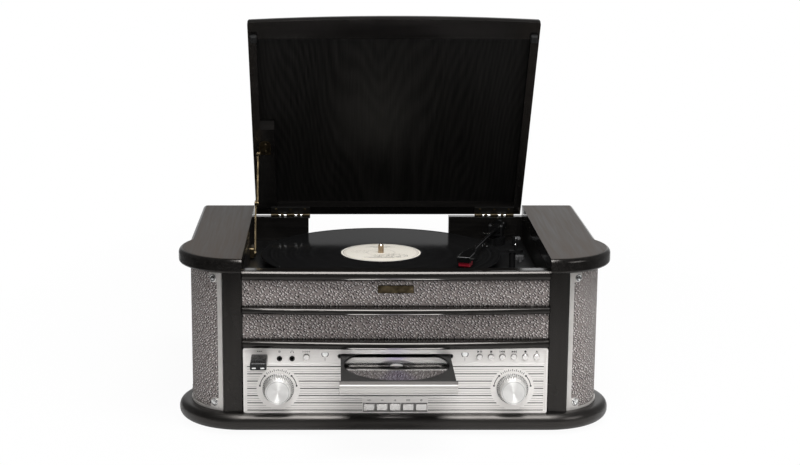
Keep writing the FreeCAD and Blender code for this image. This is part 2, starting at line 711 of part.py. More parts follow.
def front_rails():
    rails = []
    for level, (height, bow) in enumerate(zip(RAIL_HEIGHTS, RAIL_BOWS)):
        z0 = rail_bottom(level)
        rail = bowed_slab(HALF_WELL, RAIL_Y, bow, FRONT_BACK_Y, z0, z0 + height)
        rails.append(rounded(rail, RAIL_ROUND_SHARE * height, lambda edge: is_level(edge)
                             and edge.CenterOfMass.y < RAIL_Y + 1))
    return Part.makeCompound(rails)


def cloth_panels():
    strips = []
    for level in range(2):
        z0 = rail_bottom(level) + RAIL_HEIGHTS[level]
        strip = box(-HALF_WELL, HALF_WELL, CLOTH_Y, FRONT_BACK_Y, z0, z0 + CLOTH_HEIGHT)
        strips.append(rounded(strip, CLOTH_ROUND, lambda edge: runs_along(edge, ALONG_X)
                              and edge.CenterOfMass.y < CLOTH_Y + 1))
    return Part.makeCompound(strips)


def grille_band(inner, outer, trim_deg, z0, z1):
    start = from_ahead(GRILLE_START_DEG + trim_deg)
    end = from_ahead(GRILLE_END_DEG - trim_deg)
    return sector(LOBE_CENTRE, inner, outer, start, end, z0, z1)


def arc_degrees(length):
    return math.degrees(length / POD_RADIUS)


def tab_places():
    """Screw places on the right grille, as turns from straight ahead and heights."""
    side = arc_degrees(GRILLE_STRIP + TAB_INSET)
    rim = GRILLE_RIM + TAB_RISE
    return [(turn, z) for turn in (GRILLE_START_DEG + side, GRILLE_END_DEG - side)
            for z in (PLINTH_TOP + rim, SIDE_TOP - rim)]


def radial_rod(radius, turn, z, inner, outer):
    angle = from_ahead(turn)
    return rod(radius, at(polar(LOBE_CENTRE, inner, angle), z), at(polar(LOBE_CENTRE, outer, angle), z))


def grille_tab(turn, z):
    """A corner tab: an ear round a screw, with webs to the nearest upright and rim of the frame."""
    inner = POD_RADIUS + JOIN_GAP
    outer = POD_RADIUS + GRILLE_PROUD
    half = arc_degrees(TAB_RADIUS)
    web = arc_degrees(TAB_INSET + GRILLE_STRIP / 2)
    rise = TAB_RISE + GRILLE_RIM / 2
    low_turn, high_turn = (turn - web, turn) if turn < SPEAKER_DEG else (turn, turn + web)
    low_z, high_z = (z - rise, z) if z < (PLINTH_TOP + SIDE_TOP) / 2 else (z, z + rise)
    level = sector(LOBE_CENTRE, inner, outer, from_ahead(low_turn), from_ahead(high_turn),
                   z - TAB_RADIUS, z + TAB_RADIUS)
    upright = sector(LOBE_CENTRE, inner, outer, from_ahead(turn - half), from_ahead(turn + half),
                     low_z, high_z)
    return radial_rod(TAB_RADIUS, turn, z, inner, outer).fuse([level, upright])


def grille_frames():
    inner = POD_RADIUS - GRILLE_DEPTH
    outer = POD_RADIUS + GRILLE_PROUD
    trim = arc_degrees(JOIN_GAP)
    frame = grille_band(inner, outer, trim, PLINTH_TOP, SIDE_TOP)
    frame = frame.cut(grille_band(inner - 1, outer + 1, arc_degrees(GRILLE_STRIP),
                                  PLINTH_TOP + GRILLE_RIM, SIDE_TOP - GRILLE_RIM))
    tabs = [grille_tab(turn, z) for turn, z in tab_places()]
    frame = joined(frame, *tabs)
    for turn, z in tab_places():
        frame = frame.cut(radial_rod(SCREW_SHANK_RADIUS + RUNNING_FIT, turn, z, inner - 1, outer + 1))
    stile_side = box(0, STILE_OUTER + JOIN_GAP, 0, LOBE_RADIUS, PLINTH_TOP - 1, SIDE_TOP + 1)
    return both_sides(frame.cut(stile_side))


def grille_cloths():
    cloth = grille_band(POD_RADIUS - GRILLE_DEPTH, POD_RADIUS, arc_degrees(GRILLE_STRIP + JOIN_GAP),
                        PLINTH_TOP + GRILLE_RIM + JOIN_GAP, SIDE_TOP - GRILLE_RIM - JOIN_GAP)
    for turn, z in tab_places():
        cloth = cloth.cut(radial_rod(SCREW_SHANK_RADIUS + JOIN_GAP, turn, z, 1, POD_RADIUS + 1))
    return both_sides(cloth)


def grille_screws():
    face = POD_RADIUS + GRILLE_PROUD
    profile = [(0, -SCREW_SHANK_LENGTH), (SCREW_SHANK_RADIUS, -SCREW_SHANK_LENGTH), (SCREW_SHANK_RADIUS, 0),
               (SCREW_HEAD_RADIUS, 0), (SCREW_HEAD_RADIUS * SCREW_DOME, SCREW_HEAD_HEIGHT * SCREW_DOME),
               (0, SCREW_HEAD_HEIGHT)]
    screws = []
    for turn, z in tab_places():
        angle = from_ahead(turn)
        base = at(polar(LOBE_CENTRE, face, angle), z)
        screws.append(turned(profile, base, polar(ORIGIN, 1, angle)))
    return Part.makeCompound(screws + [mirrored(screw) for screw in screws])


def speaker_drivers():
    """A basket with its magnet, and a cone in it, behind the middle of each grille."""
    inner = POD_RADIUS - GRILLE_DEPTH - SEAT_GAP
    plate_radius = math.sqrt(inner ** 2 - SPEAKER_REACH ** 2)
    back = -SPEAKER_DEPTH
    cup = back + SPEAKER_DEPTH * SPEAKER_CUP
    mouth = plate_radius * CONE_MOUTH
    neck = SPEAKER_MAGNET_RADIUS * CONE_NECK
    basket = [(0, back), (SPEAKER_MAGNET_RADIUS, back), (SPEAKER_MAGNET_RADIUS, cup),
              (mouth + CONE_WALL, -SPEAKER_PLATE), (plate_radius, -SPEAKER_PLATE), (plate_radius, 0),
              (mouth, 0), (mouth, -CONE_WALL), (neck, -CONE_DEPTH - CONE_WALL), (0, -CONE_DEPTH - CONE_WALL)]
    cone = [(0, -CONE_DEPTH), (neck, -CONE_DEPTH), (mouth - JOIN_GAP, -CONE_WALL / 2), (mouth - JOIN_GAP, 0),
            (neck, -CONE_DEPTH + CONE_WALL), (0, -CONE_DEPTH + 2 * CONE_WALL)]
    angle = from_ahead(SPEAKER_DEG)
    base = at(polar(LOBE_CENTRE, SPEAKER_REACH, angle), (PLINTH_TOP + SIDE_TOP) / 2)
    drivers = [turned(profile, base, polar(ORIGIN, 1, angle)) for profile in (basket, cone)]
    return Part.makeCompound(drivers + [mirrored(driver) for driver in drivers])


# Control panel and what sits in it

def front_rod(radius, x, z, y0, y1):
    return rod(radius, V(x, y0, z), V(x, y1, z))


def at_y(point, y):
    return V(point.x, y, point.z)


def button_xs():
    last = HALF_WELL - BUTTON_INSET
    return [last - index * BUTTON_PITCH for index in reversed(range(len(BUTTON_NAMES)))]


def key_xs():
    first = -KEY_PITCH * (len(KEY_NAMES) - 1) / 2
    return [first + index * KEY_PITCH for index in range(len(KEY_NAMES))]


def key_block(x, grow, y0, y1):
    z = PLINTH_TOP + KEY_RISE
    half_width = KEY_WIDTH / 2 + grow
    half_height = KEY_HEIGHT / 2 + grow
    return box(x - half_width, x + half_width, y0, y1, z - half_height, z + half_height)


def stick_block(width, height, y0, y1):
    z = PANEL_TOP - STICK_DROP
    return box(STICK_X - width / 2, STICK_X + width / 2, y0, y1, z - height / 2, z + height / 2)


def slot_block():
    low = TRAY_BOTTOM - SLOT_BELOW
    high = TRAY_TOP + SLOT_ABOVE
    block = box(-SLOT_WIDTH / 2, SLOT_WIDTH / 2, PANEL_Y - PANEL_RIM_HEIGHT - 1, PANEL_BACK_Y + 1, low, high)
    return rounded(block, SLOT_ROUND_SHARE * (high - low), lambda edge: runs_along(edge, ALONG_Y))


def rib_grooves(x0, x1, z0, z1, face_y):
    """Level grooves from z0 up to z1, cut into a face that looks ahead, with a deep one in every group."""
    grooves = []
    for index in range(int((z1 - z0) / RIB_PITCH) + 1):
        deep = index % RIB_GROUP == 0
        width = RIB_MAIN_GROOVE if deep else RIB_GROOVE
        depth = RIB_MAIN_DEPTH if deep else RIB_DEPTH
        z = z0 + index * RIB_PITCH
        grooves.append(box(x0, x1, face_y - 1, face_y + depth, z, z + width))
    return Part.makeCompound(grooves)


def sunk_strip(half):
    """What is cut away for the smooth strip: a shallow bed with a sloped lower edge."""
    low = PANEL_TOP - STRIP_HEIGHT
    high = PANEL_TOP - PANEL_RIM
    side = [V(-half, PANEL_Y, low), V(-half, STRIP_Y, low + STRIP_BEVEL), V(-half, STRIP_Y, high),
            V(-half, PANEL_Y, high)]
    return Part.Face(Part.Wire(polygon(side))).extrude(ALONG_X * 2 * half)


def control_panel():
    half = HALF_WELL - JOIN_GAP
    plate = box(-half, half, PANEL_Y - PANEL_RIM_HEIGHT, PANEL_BACK_Y, PLINTH_TOP, PANEL_TOP)
    plate = rounded(plate, PANEL_CORNER, lambda edge: runs_along(edge, ALONG_Y))
    plate = plate.cut(box(-half + PANEL_RIM, half - PANEL_RIM, PANEL_Y - PANEL_RIM_HEIGHT - 1, PANEL_Y,
                          PLINTH_TOP + PANEL_RIM, PANEL_TOP - PANEL_RIM))
    plate = plate.cut(sunk_strip(half - PANEL_RIM))
    ribs = rib_grooves(-half + 2 * PANEL_RIM, half - 2 * PANEL_RIM, PLINTH_TOP + RIB_START,
                       PANEL_TOP - STRIP_HEIGHT - RIB_TOP_GAP, PANEL_Y)
    for x in (-KNOB_X, KNOB_X):
        ribs = ribs.cut(front_rod(KNOB_CLEAR_RADIUS, x, KNOB_Z, 0, PANEL_BACK_Y))
    patch_z = PLINTH_TOP + KEY_RISE + KEY_HEIGHT / 2
    ribs = ribs.cut(box(-KEY_PATCH_WIDTH / 2, KEY_PATCH_WIDTH / 2, 0, PANEL_BACK_Y,
                        PLINTH_TOP, patch_z + KEY_PATCH_HEIGHT))
    plate = plate.cut(ribs)
    holes = [slot_block()]
    y0 = PANEL_Y - PANEL_RIM_HEIGHT - 1
    y1 = PANEL_BACK_Y + 1
    for x in button_xs() + [FUNCTION_X]:
        holes.append(front_rod(BUTTON_RADIUS + SEAT_GAP, x, BUTTON_Z, y0, y1))
    for x in key_xs():
        holes.append(key_block(x, SEAT_GAP, y0, y1))
    for x in (-KNOB_X, KNOB_X):
        holes.append(front_rod(SHAFT_RADIUS + SEAT_GAP, x, KNOB_Z, y0, y1))
    for x in (AUX_X, PHONES_X):
        holes.append(front_rod(JACK_RADIUS + RUNNING_FIT, x, PANEL_TOP - JACK_DROP, y0, y1))
    for x in (-LENS_X, LENS_X):
        holes.append(lens_block(x, y0, y1))
    around = 2 * (PORT_WALL + SEAT_GAP)
    holes.append(stick_block(PLUG_WIDTH + around, PLUG_HEIGHT + around, y0, y1))
    return plate.cut(Part.makeCompound(holes))


def lens_block(x, y0, y1):
    z = PANEL_TOP - LENS_DROP
    return box(x - LENS_WIDTH / 2, x + LENS_WIDTH / 2, y0, y1, z - LENS_HEIGHT / 2, z + LENS_HEIGHT / 2)


def sockets():
    """Jack bushes and the memory stick port in front, line-out sockets and the mains inlet behind."""
    pieces = []
    for x in (AUX_X, PHONES_X):
        z = PANEL_TOP - JACK_DROP
        bush = front_rod(JACK_RADIUS, x, z, STRIP_Y - JACK_FLANGE, STRIP_Y + JACK_LENGTH)
        flange = front_rod(JACK_FLANGE_RADIUS, x, z, STRIP_Y - JACK_FLANGE, STRIP_Y)
        bore = front_rod(JACK_BORE_RADIUS, x, z, STRIP_Y - JACK_FLANGE - 1, STRIP_Y + JACK_LENGTH - PORT_WALL)
        pieces.append(bush.fuse(flange).cut(bore))
    port = stick_block(PLUG_WIDTH + 2 * PORT_WALL, PLUG_HEIGHT + 2 * PORT_WALL,
                       PANEL_Y, PANEL_Y + PLUG_LENGTH + 2 * PORT_SPARE)
    plug_well = stick_block(PLUG_WIDTH + 2 * SEAT_GAP, PLUG_HEIGHT + 2 * SEAT_GAP, PANEL_Y - 1,
                            PANEL_Y + PLUG_LENGTH + PORT_SPARE)
    pieces.append(port.cut(plug_well))
    for place in line_out_places():
        barrel = rod(LINE_OUT_RADIUS, at_y(place, BACK_Y), at_y(place, CABINET_DEPTH + LINE_OUT_LENGTH))
        centre = rod(LINE_OUT_BORE_RADIUS, at_y(place, CABINET_DEPTH),
                     at_y(place, CABINET_DEPTH + LINE_OUT_LENGTH + 1))
        pieces.append(barrel.cut(centre))
    return Part.makeCompound(pieces + [mains_inlet()])


def line_out_places():
    z = PLINTH_TOP + SOCKET_RISE
    return [V(LINE_OUT_X, 0, z), V(LINE_OUT_X + LINE_OUT_PITCH, 0, z)]


def inlet_block(grow):
    z = PLINTH_TOP + SOCKET_RISE
    half_width = INLET_WIDTH / 2 + grow
    half_height = INLET_HEIGHT / 2 + grow
    return box(INLET_X - half_width, INLET_X + half_width, CABINET_DEPTH - INLET_DEPTH, CABINET_DEPTH,
               z - half_height, z + half_height)


def mains_inlet():
    """A shell with a figure of eight well."""
    shell = inlet_block(0)
    z = PLINTH_TOP + SOCKET_RISE
    lobe = INLET_HEIGHT / 2 - INLET_WALL
    for side in (-1, 1):
        x = INLET_X + side * lobe * INLET_LOBE_SHARE
        well = rod(lobe, V(x, CABINET_DEPTH - INLET_WELL, z), V(x, CABINET_DEPTH + 1, z))
        shell = shell.cut(well)
    return shell


def round_button(x):
    tip = PANEL_Y - BUTTON_PROUD
    flange_y = PANEL_BACK_Y + SEAT_GAP
    shoulder = flange_y - tip
    back = shoulder + BUTTON_FLANGE
    end = back + BUTTON_STEM
    profile = [(0, 0), (BUTTON_RADIUS - BUTTON_EDGE, 0), (BUTTON_RADIUS, BUTTON_EDGE),
               (BUTTON_RADIUS, shoulder), (BUTTON_RADIUS + BUTTON_FLANGE, shoulder),
               (BUTTON_RADIUS + BUTTON_FLANGE, back),
               (BUTTON_STEM_RADIUS, back), (BUTTON_STEM_RADIUS, end), (0, end)]
    return turned(profile, V(x, tip, BUTTON_Z), ALONG_Y)


def flat_key(x):
    tip = PANEL_Y - KEY_PROUD
    back = PANEL_BACK_Y + SEAT_GAP
    cap = key_block(x, 0, tip, back)
    cap = rounded(cap, KEY_ROUND, lambda edge: edge.CenterOfMass.y < tip + 1e-6)
    flange = key_block(x, (KEY_PITCH - KEY_WIDTH) / 2 - SEAT_GAP, back, back + BUTTON_FLANGE)
    stem = front_rod(BUTTON_STEM_RADIUS, x, PLINTH_TOP + KEY_RISE, back, back + BUTTON_FLANGE + BUTTON_STEM)
    return joined(cap, flange, stem)


def knob(x):
    base = V(x, PANEL_Y - SEAT_GAP, KNOB_Z)
    profile = [(SHAFT_RADIUS + RUNNING_FIT, 0), (KNOB_SKIRT_RADIUS, 0),
               (KNOB_SKIRT_RADIUS, KNOB_SKIRT - KNOB_SKIRT_BEVEL),
               (KNOB_SKIRT_RADIUS - KNOB_SKIRT_BEVEL, KNOB_SKIRT), (KNOB_RADIUS, KNOB_SKIRT),
               (KNOB_FACE_RADIUS + KNOB_EDGE_STEP, KNOB_LENGTH - KNOB_EDGE), (KNOB_FACE_RADIUS, KNOB_LENGTH),
               (KNOB_DISH_RADIUS, KNOB_LENGTH), (0, KNOB_LENGTH - KNOB_DISH),
               (0, SHAFT_DEPTH + SEAT_GAP), (SHAFT_RADIUS + RUNNING_FIT, SHAFT_DEPTH + SEAT_GAP)]
    body = turned(profile, base, -ALONG_Y)
    low = V(x, base.y - KNOB_SKIRT - KNURL_SINK, KNOB_Z + KNOB_RADIUS + KNURL_RADIUS - 1.5 * KNURL_SINK)
    high = V(x, base.y - KNOB_LENGTH, KNOB_Z + KNOB_FACE_RADIUS + KNURL_RADIUS)
    flute = rod(KNURL_RADIUS, low, high)
    flutes = [spun(flute, base, ALONG_Y, index * 360 / KNURL_COUNT) for index in range(KNURL_COUNT)]
    return body.cut(Part.makeCompound(flutes))


def control_board():
    """Two potentiometers on the back of the panel, each with its shaft and circuit board."""
    pieces = []
    for x in (-KNOB_X, KNOB_X):
        back = PANEL_BACK_Y + POT_LENGTH
        body = front_rod(POT_RADIUS, x, KNOB_Z, PANEL_BACK_Y, back)
        shaft = front_rod(SHAFT_RADIUS, x, KNOB_Z, PANEL_Y - SEAT_GAP - SHAFT_DEPTH, back)
        pieces.append(joined(body, shaft))
        z0 = PLINTH_TOP + SEAT_GAP
        half = min(BOARD_WIDTH / 2, HALF_WELL - KNOB_X - JOIN_GAP)
        pieces.append(box(x - half, x + half, back, back + BOARD_THICKNESS, z0, z0 + BOARD_HEIGHT))
    return Part.makeCompound(pieces)


def usb_stick():
    body = stick_block(STICK_WIDTH, STICK_HEIGHT, PANEL_Y - SEAT_GAP - STICK_LENGTH, PANEL_Y - SEAT_GAP)
    body = rounded(body, STICK_ROUND, lambda edge: True)
    plug = stick_block(PLUG_WIDTH, PLUG_HEIGHT, PANEL_Y - SEAT_GAP - STICK_ROUND, PANEL_Y + PLUG_LENGTH)
    return joined(body, plug)


# Disc drawer

def cd_tray():
    half = TRAY_WIDTH / 2
    tray = box(-half, half, TRAY_FRONT_Y, TRAY_FRONT_Y + TRAY_LENGTH, TRAY_BOTTOM, TRAY_TOP)
    tray = rounded(tray, TRAY_CORNER, lambda edge: runs_along(edge, ALONG_Z)
                   and edge.CenterOfMass.y > TRAY_FRONT_Y + 1)
    centre = V(0, DISC_Y, 0)
    tray = tray.cut(rod(DISC_RADIUS + DISC_POCKET_CLEARANCE, at(centre, POCKET_Z), at(centre, TRAY_TOP + 1)))
    slot = box(-HUB_SLOT_WIDTH / 2, HUB_SLOT_WIDTH / 2, DISC_Y, DISC_Y + HUB_SLOT_LENGTH,
               TRAY_BOTTOM - 1, TRAY_TOP)
    mouth = rod(HUB_SLOT_WIDTH / 2, at(centre, TRAY_BOTTOM - 1), at(centre, TRAY_TOP))
    return tray.cut(slot.fuse(mouth))


def cd_tray_front():
    half = DRAWER_FRONT_WIDTH / 2
    face_y = TRAY_FRONT_Y - DRAWER_FRONT_THICKNESS
    bottom = TRAY_TOP - DRAWER_FRONT_HEIGHT
    front = box(-half, half, face_y, TRAY_FRONT_Y, bottom, TRAY_TOP)
    front = front.makeChamfer(DRAWER_FRONT_BEVEL, [edge for edge in front.Edges if runs_along(edge, ALONG_X)
                              and edge.CenterOfMass.y < face_y + 1 and edge.CenterOfMass.z > TRAY_TOP - 1])
    front = rounded(front, DRAWER_FRONT_ROUND, lambda edge: runs_along(edge, ALONG_Z)
                    and edge.CenterOfMass.y < face_y + 1)
    ribs = rib_grooves(-half - 1, half + 1, bottom + RIB_GROOVE,
                       TRAY_TOP - DRAWER_FRONT_BEVEL - 2 * RIB_GROOVE, face_y)
    return front.cut(ribs)


def compact_disc():
    return ring(DISC_RADIUS, DISC_HOLE_RADIUS, DISC_BOTTOM, DISC_TOP, V(0, DISC_Y, 0))


def cd_chassis():
    """Runners for the tray on four legs, with the disc hub and its motor under them."""
    inner = TRAY_WIDTH / 2 + SEAT_GAP
    outer = inner + CHASSIS_WALL
    floor_top = TRAY_BOTTOM - CHASSIS_FLOOR_GAP
    y0 = PANEL_BACK_Y + JOIN_GAP
    y1 = y0 + CHASSIS_LENGTH
    floor = box(-outer, outer, y0, y1, floor_top - CHASSIS_WALL, floor_top)
    pieces = []
    for side in (-1, 1):
        x0, x1 = sorted((side * inner, side * outer))
        pieces.append(box(x0, x1, y0, y1, floor_top, TRAY_TOP))
        x0, x1 = sorted((side * (inner - CHASSIS_RUNNER), side * inner))
        pieces.append(box(x0, x1, y0, y1, floor_top, TRAY_BOTTOM - SEAT_GAP))
        for y in (y0 + CHASSIS_LEG_INSET, y1 - CHASSIS_LEG_INSET):
            x = side * (outer - CHASSIS_LEG_INSET)
            pieces.append(rod(CHASSIS_LEG_RADIUS, V(x, y, PLINTH_TOP), V(x, y, floor_top)))
    closed_y = DISC_Y + TRAY_OUT - SEAT_GAP
    hub = V(0, closed_y, floor_top)
    pieces.append(rod(DISC_HUB_RADIUS, hub, hub + ALONG_Z * DISC_HUB_HEIGHT))
    pieces.append(rod(DISC_MOTOR_RADIUS, hub - ALONG_Z * DISC_MOTOR_HEIGHT, hub))
    return joined(floor, *pieces)


# Deck, platter and drive

def deck_plate():
    half = HALF_WELL - JOIN_GAP
    plate = box(-half, half, FRONT_BACK_Y + JOIN_GAP, BACK_Y - JOIN_GAP, DECK_BOTTOM, DECK_TOP)
    well = PLATTER_RADIUS + PLATTER_WELL_CLEARANCE
    plate = plate.cut(rod(well, at(SPINDLE, DECK_FLOOR_TOP), at(SPINDLE, DECK_TOP + 1)))
    boss = rod(BEARING_RADIUS, at(SPINDLE, DECK_FLOOR_TOP - BEARING_LENGTH), at(SPINDLE, DECK_FLOOR_TOP))
    plate = joined(plate, boss, arm_park())
    plate = plate.cut(rod(BEARING_SHAFT + RUNNING_FIT, at(SPINDLE, DECK_FLOOR_TOP - BEARING_LENGTH - 1),
                          at(SPINDLE, DECK_TOP)))
    plate = plate.cut(rod(PULLEY_RADIUS, at(MOTOR, DECK_BOTTOM - 1), at(MOTOR, DECK_TOP)))
    speed = V(SPEED_X, SPEED_Y, 0)
    return plate.cut(rod(SPEED_PIN_RADIUS + RUNNING_FIT, at(speed, DECK_BOTTOM - 1), at(speed, DECK_TOP + 1)))


def arm_heading(swing_deg):
    """The plane angle along the arm, swung from where it plays."""
    return from_ahead(-ARM_REST_DEG + swing_deg)


def arm_park():
    """The arm rest: a post with a cradle and a stop on its outer side."""
    heading = arm_heading(ARM_PARK_SWING_DEG)
    place = polar(at(ARM, 0), PARK_REACH, heading)
    cradle_top = ARM_Z - ARM_TUBE_RADIUS - SEAT_GAP
    post = rod(PARK_POST_RADIUS, V(0, 0, DECK_BOTTOM), V(0, 0, cradle_top))
    stop_x = ARM_TUBE_RADIUS + SEAT_GAP
    cradle = box(-PARK_WIDTH / 2, stop_x + PARK_STOP_WIDTH, -PARK_LENGTH / 2, PARK_LENGTH / 2,
                 cradle_top - PARK_FLOOR, cradle_top)
    stop = box(stop_x, stop_x + PARK_STOP_WIDTH, -PARK_LENGTH / 2, PARK_LENGTH / 2,
               cradle_top - PARK_FLOOR, ARM_Z + PARK_STOP_RISE)
    rest = joined(post, cradle, stop)
    return moved(spun(rest, ORIGIN, ALONG_Z, heading + 90), place)


def platter():
    disc = [(SPINDLE_RADIUS + JOIN_GAP, PLATTER_BOTTOM), (HUB_RADIUS, PLATTER_BOTTOM),
            (PLATTER_RADIUS, PLATTER_BOTTOM), (PLATTER_RADIUS, MAT_BOTTOM - PLATTER_ROUND),
            (PLATTER_RADIUS - PLATTER_ROUND, MAT_BOTTOM), (SPINDLE_RADIUS + JOIN_GAP, MAT_BOTTOM)]
    drum = ring(DRUM_RADIUS, DRUM_RADIUS - DRUM_WALL, PLATTER_BOTTOM - DRUM_HEIGHT, PLATTER_BOTTOM, SPINDLE)
    hub = ring(HUB_RADIUS, BEARING_SHAFT + JOIN_GAP, DECK_FLOOR_TOP + SEAT_GAP, PLATTER_BOTTOM, SPINDLE)
    return joined(turned(disc, SPINDLE), drum, hub)


def slip_mat():
    return ring(MAT_RADIUS, SPINDLE_RADIUS + JOIN_GAP, MAT_BOTTOM, RECORD_BOTTOM, SPINDLE)


def spindle():
    top = RECORD_TOP + SPINDLE_PROUD
    low = DECK_FLOOR_TOP - BEARING_LENGTH
    neck = SPINDLE_RADIUS - SPINDLE_NECK
    neck_top = RECORD_TOP + JOIN_GAP
    profile = [(0, low), (BEARING_SHAFT, low), (BEARING_SHAFT, PLATTER_BOTTOM), (neck, PLATTER_BOTTOM),
               (neck, neck_top), (SPINDLE_RADIUS, neck_top), (SPINDLE_RADIUS, top - SPINDLE_DOME),
               (SPINDLE_TIP_RADIUS, top), (0, top)]
    return turned(profile, SPINDLE)


def record():
    """A thin turned disc: a label land, lower grooves and a bead round the rim."""
    hole = SPINDLE_RADIUS + RECORD_HOLE_CLEARANCE
    low = RECORD_BOTTOM
    top = RECORD_TOP
    groove = top - RECORD_LAND
    edge = RECORD_RADIUS - RECORD_EDGE
    bead = RECORD_RADIUS - RECORD_RIM
    profile = [(hole, low), (edge, low), (RECORD_RADIUS, (low + top) / 2), (edge, top), (bead, top),
               (bead - RECORD_SLOPE, groove), (RECORD_LABEL_RADIUS + RECORD_SLOPE, groove),
               (RECORD_LABEL_RADIUS, top), (hole, top)]
    return turned(profile, SPINDLE)


def drive_motor():
    top = DECK_BOTTOM
    body = rod(MOTOR_RADIUS, at(MOTOR, top - MOTOR_LENGTH), at(MOTOR, top))
    shaft = rod(MOTOR_SHAFT_RADIUS, at(MOTOR, top - MOTOR_LENGTH), at(MOTOR, BELT_Z + PULLEY_HEIGHT / 2))
    return joined(body, shaft)


def motor_pulley():
    half = PULLEY_HEIGHT / 2
    crown = PULLEY_RADIUS - PULLEY_FLANGE
    groove = half - PULLEY_FLANGE
    bore = MOTOR_SHAFT_RADIUS + RUNNING_FIT
    profile = [(bore, -half), (PULLEY_RADIUS, -half), (PULLEY_RADIUS, -groove), (crown, -groove),
               (crown, groove), (PULLEY_RADIUS, groove), (PULLEY_RADIUS, half), (bore, half)]
    return turned(profile, at(MOTOR, BELT_Z))


def belt_loop(grow):
    """The belt's path round the drum and the pulley, grown outwards."""
    drum = DRUM_RADIUS + SEAT_GAP + grow
    pulley = PULLEY_RADIUS - PULLEY_FLANGE + SEAT_GAP + grow
    lean = math.degrees(math.acos((drum - pulley) / MOTOR_DISTANCE))
    ends = [polar(SPINDLE, drum, MOTOR_DEG + lean), polar(SPINDLE, drum, MOTOR_DEG - lean),
            polar(MOTOR, pulley, MOTOR_DEG - lean), polar(MOTOR, pulley, MOTOR_DEG + lean)]
    return [arc(ends[0], polar(SPINDLE, drum, MOTOR_DEG + 180), ends[1]), line(ends[1], ends[2]),
            arc(ends[2], polar(MOTOR, pulley, MOTOR_DEG), ends[3]), line(ends[3], ends[0])]


def drive_belt():
    z0 = BELT_Z - BELT_HEIGHT / 2
    z1 = BELT_Z + BELT_HEIGHT / 2
    return prism(belt_loop(BELT_THICKNESS), z0, z1).cut(prism(belt_loop(0), z0 - 1, z1 + 1))


# Tonearm, drawn straight ahead of its pivot and then set in place

def set_arm(shape):
    return moved(spun(shape, ORIGIN, ALONG_Z, -ARM_REST_DEG), ARM)


def tonearm_tube():
    half = ARM_BLOCK_WIDTH / 2
    block = box(-half, half, -ARM_BLOCK_FRONT, ARM_BLOCK_BACK, -ARM_BLOCK_HEIGHT / 2, ARM_BLOCK_HEIGHT / 2)
    block = rounded(block, ARM_BLOCK_ROUND, lambda edge: runs_along(edge, ALONG_Y))
    tube = rod(ARM_TUBE_RADIUS, V(0, -ARM_BLOCK_FRONT, 0), V(0, headshell_back(), 0))
    stem_end = ARM_BLOCK_BACK + WEIGHT_STEM
    stem = rod(WEIGHT_STEM_RADIUS, V(0, ARM_BLOCK_BACK, 0), V(0, stem_end, 0))
    face = WEIGHT_RADIUS - WEIGHT_BEVEL
    profile = [(0, 0), (face, 0), (WEIGHT_RADIUS, WEIGHT_BEVEL),
               (WEIGHT_RADIUS, WEIGHT_LENGTH - WEIGHT_BEVEL), (face, WEIGHT_LENGTH), (0, WEIGHT_LENGTH)]
    weight = turned(profile, V(0, stem_end, 0), ALONG_Y)
    reach = half + SEAT_GAP + YOKE_CHEEK
    pin = rod(ARM_PIN_RADIUS, V(-reach, 0, 0), V(reach, 0, 0))
    return set_arm(joined(block, tube, stem, weight, pin))


def headshell_back():
    return -(ARM_LENGTH + HEADSHELL_FRONT - HEADSHELL_LENGTH)


def headshell():
    back = headshell_back()
    front = back - HEADSHELL_LENGTH
    shoulder = back - HEADSHELL_SHOULDER
    neck = HEADSHELL_NECK / 2
    half = HEADSHELL_WIDTH / 2
    outline = [V(neck, back, 0), V(half, shoulder, 0), V(half, front, 0), V(-half, front, 0),
               V(-half, shoulder, 0), V(-neck, back, 0)]
    shell = prism(polygon(outline), -HEADSHELL_BOTTOM, HEADSHELL_TOP)
    shell = rounded(shell, HEADSHELL_ROUND, lambda edge: is_level(edge) and edge.CenterOfMass.z > 0)
    finger = box(half - 1, half + FINGER_LENGTH, front + FINGER_WIDTH, front + 2 * FINGER_WIDTH,
                 -FINGER_THICKNESS / 2, FINGER_THICKNESS / 2)
    finger = rounded(finger, FINGER_ROUND, lambda edge: runs_along(edge, ALONG_Z)
                     and edge.CenterOfMass.x > half)
    return set_arm(joined(shell, finger))


def cartridge():
    half = CARTRIDGE_WIDTH / 2
    front = -(ARM_LENGTH + HEADSHELL_FRONT - CARTRIDGE_SETBACK)
    back = front + CARTRIDGE_LENGTH
    top = -HEADSHELL_BOTTOM
    bottom = top - CARTRIDGE_HEIGHT
    side = [V(0, front, top), V(0, front, bottom + CARTRIDGE_NOSE), V(0, front + CARTRIDGE_NOSE, bottom),
            V(0, back - CARTRIDGE_RAKE, bottom), V(0, back, top)]
    body = Part.Face(Part.Wire(polygon(side))).extrude(V(CARTRIDGE_WIDTH, 0, 0))
    body = moved(body, V(-half, 0, 0))
    tip = RECORD_TOP - RECORD_LAND + NEEDLE_GAP - ARM_Z
    cone = [(0, tip), (NEEDLE_TIP_RADIUS, tip), (NEEDLE_RADIUS, bottom), (0, bottom)]
    needle = turned(cone, V(0, -ARM_LENGTH, 0))
    return set_arm(joined(body, needle))


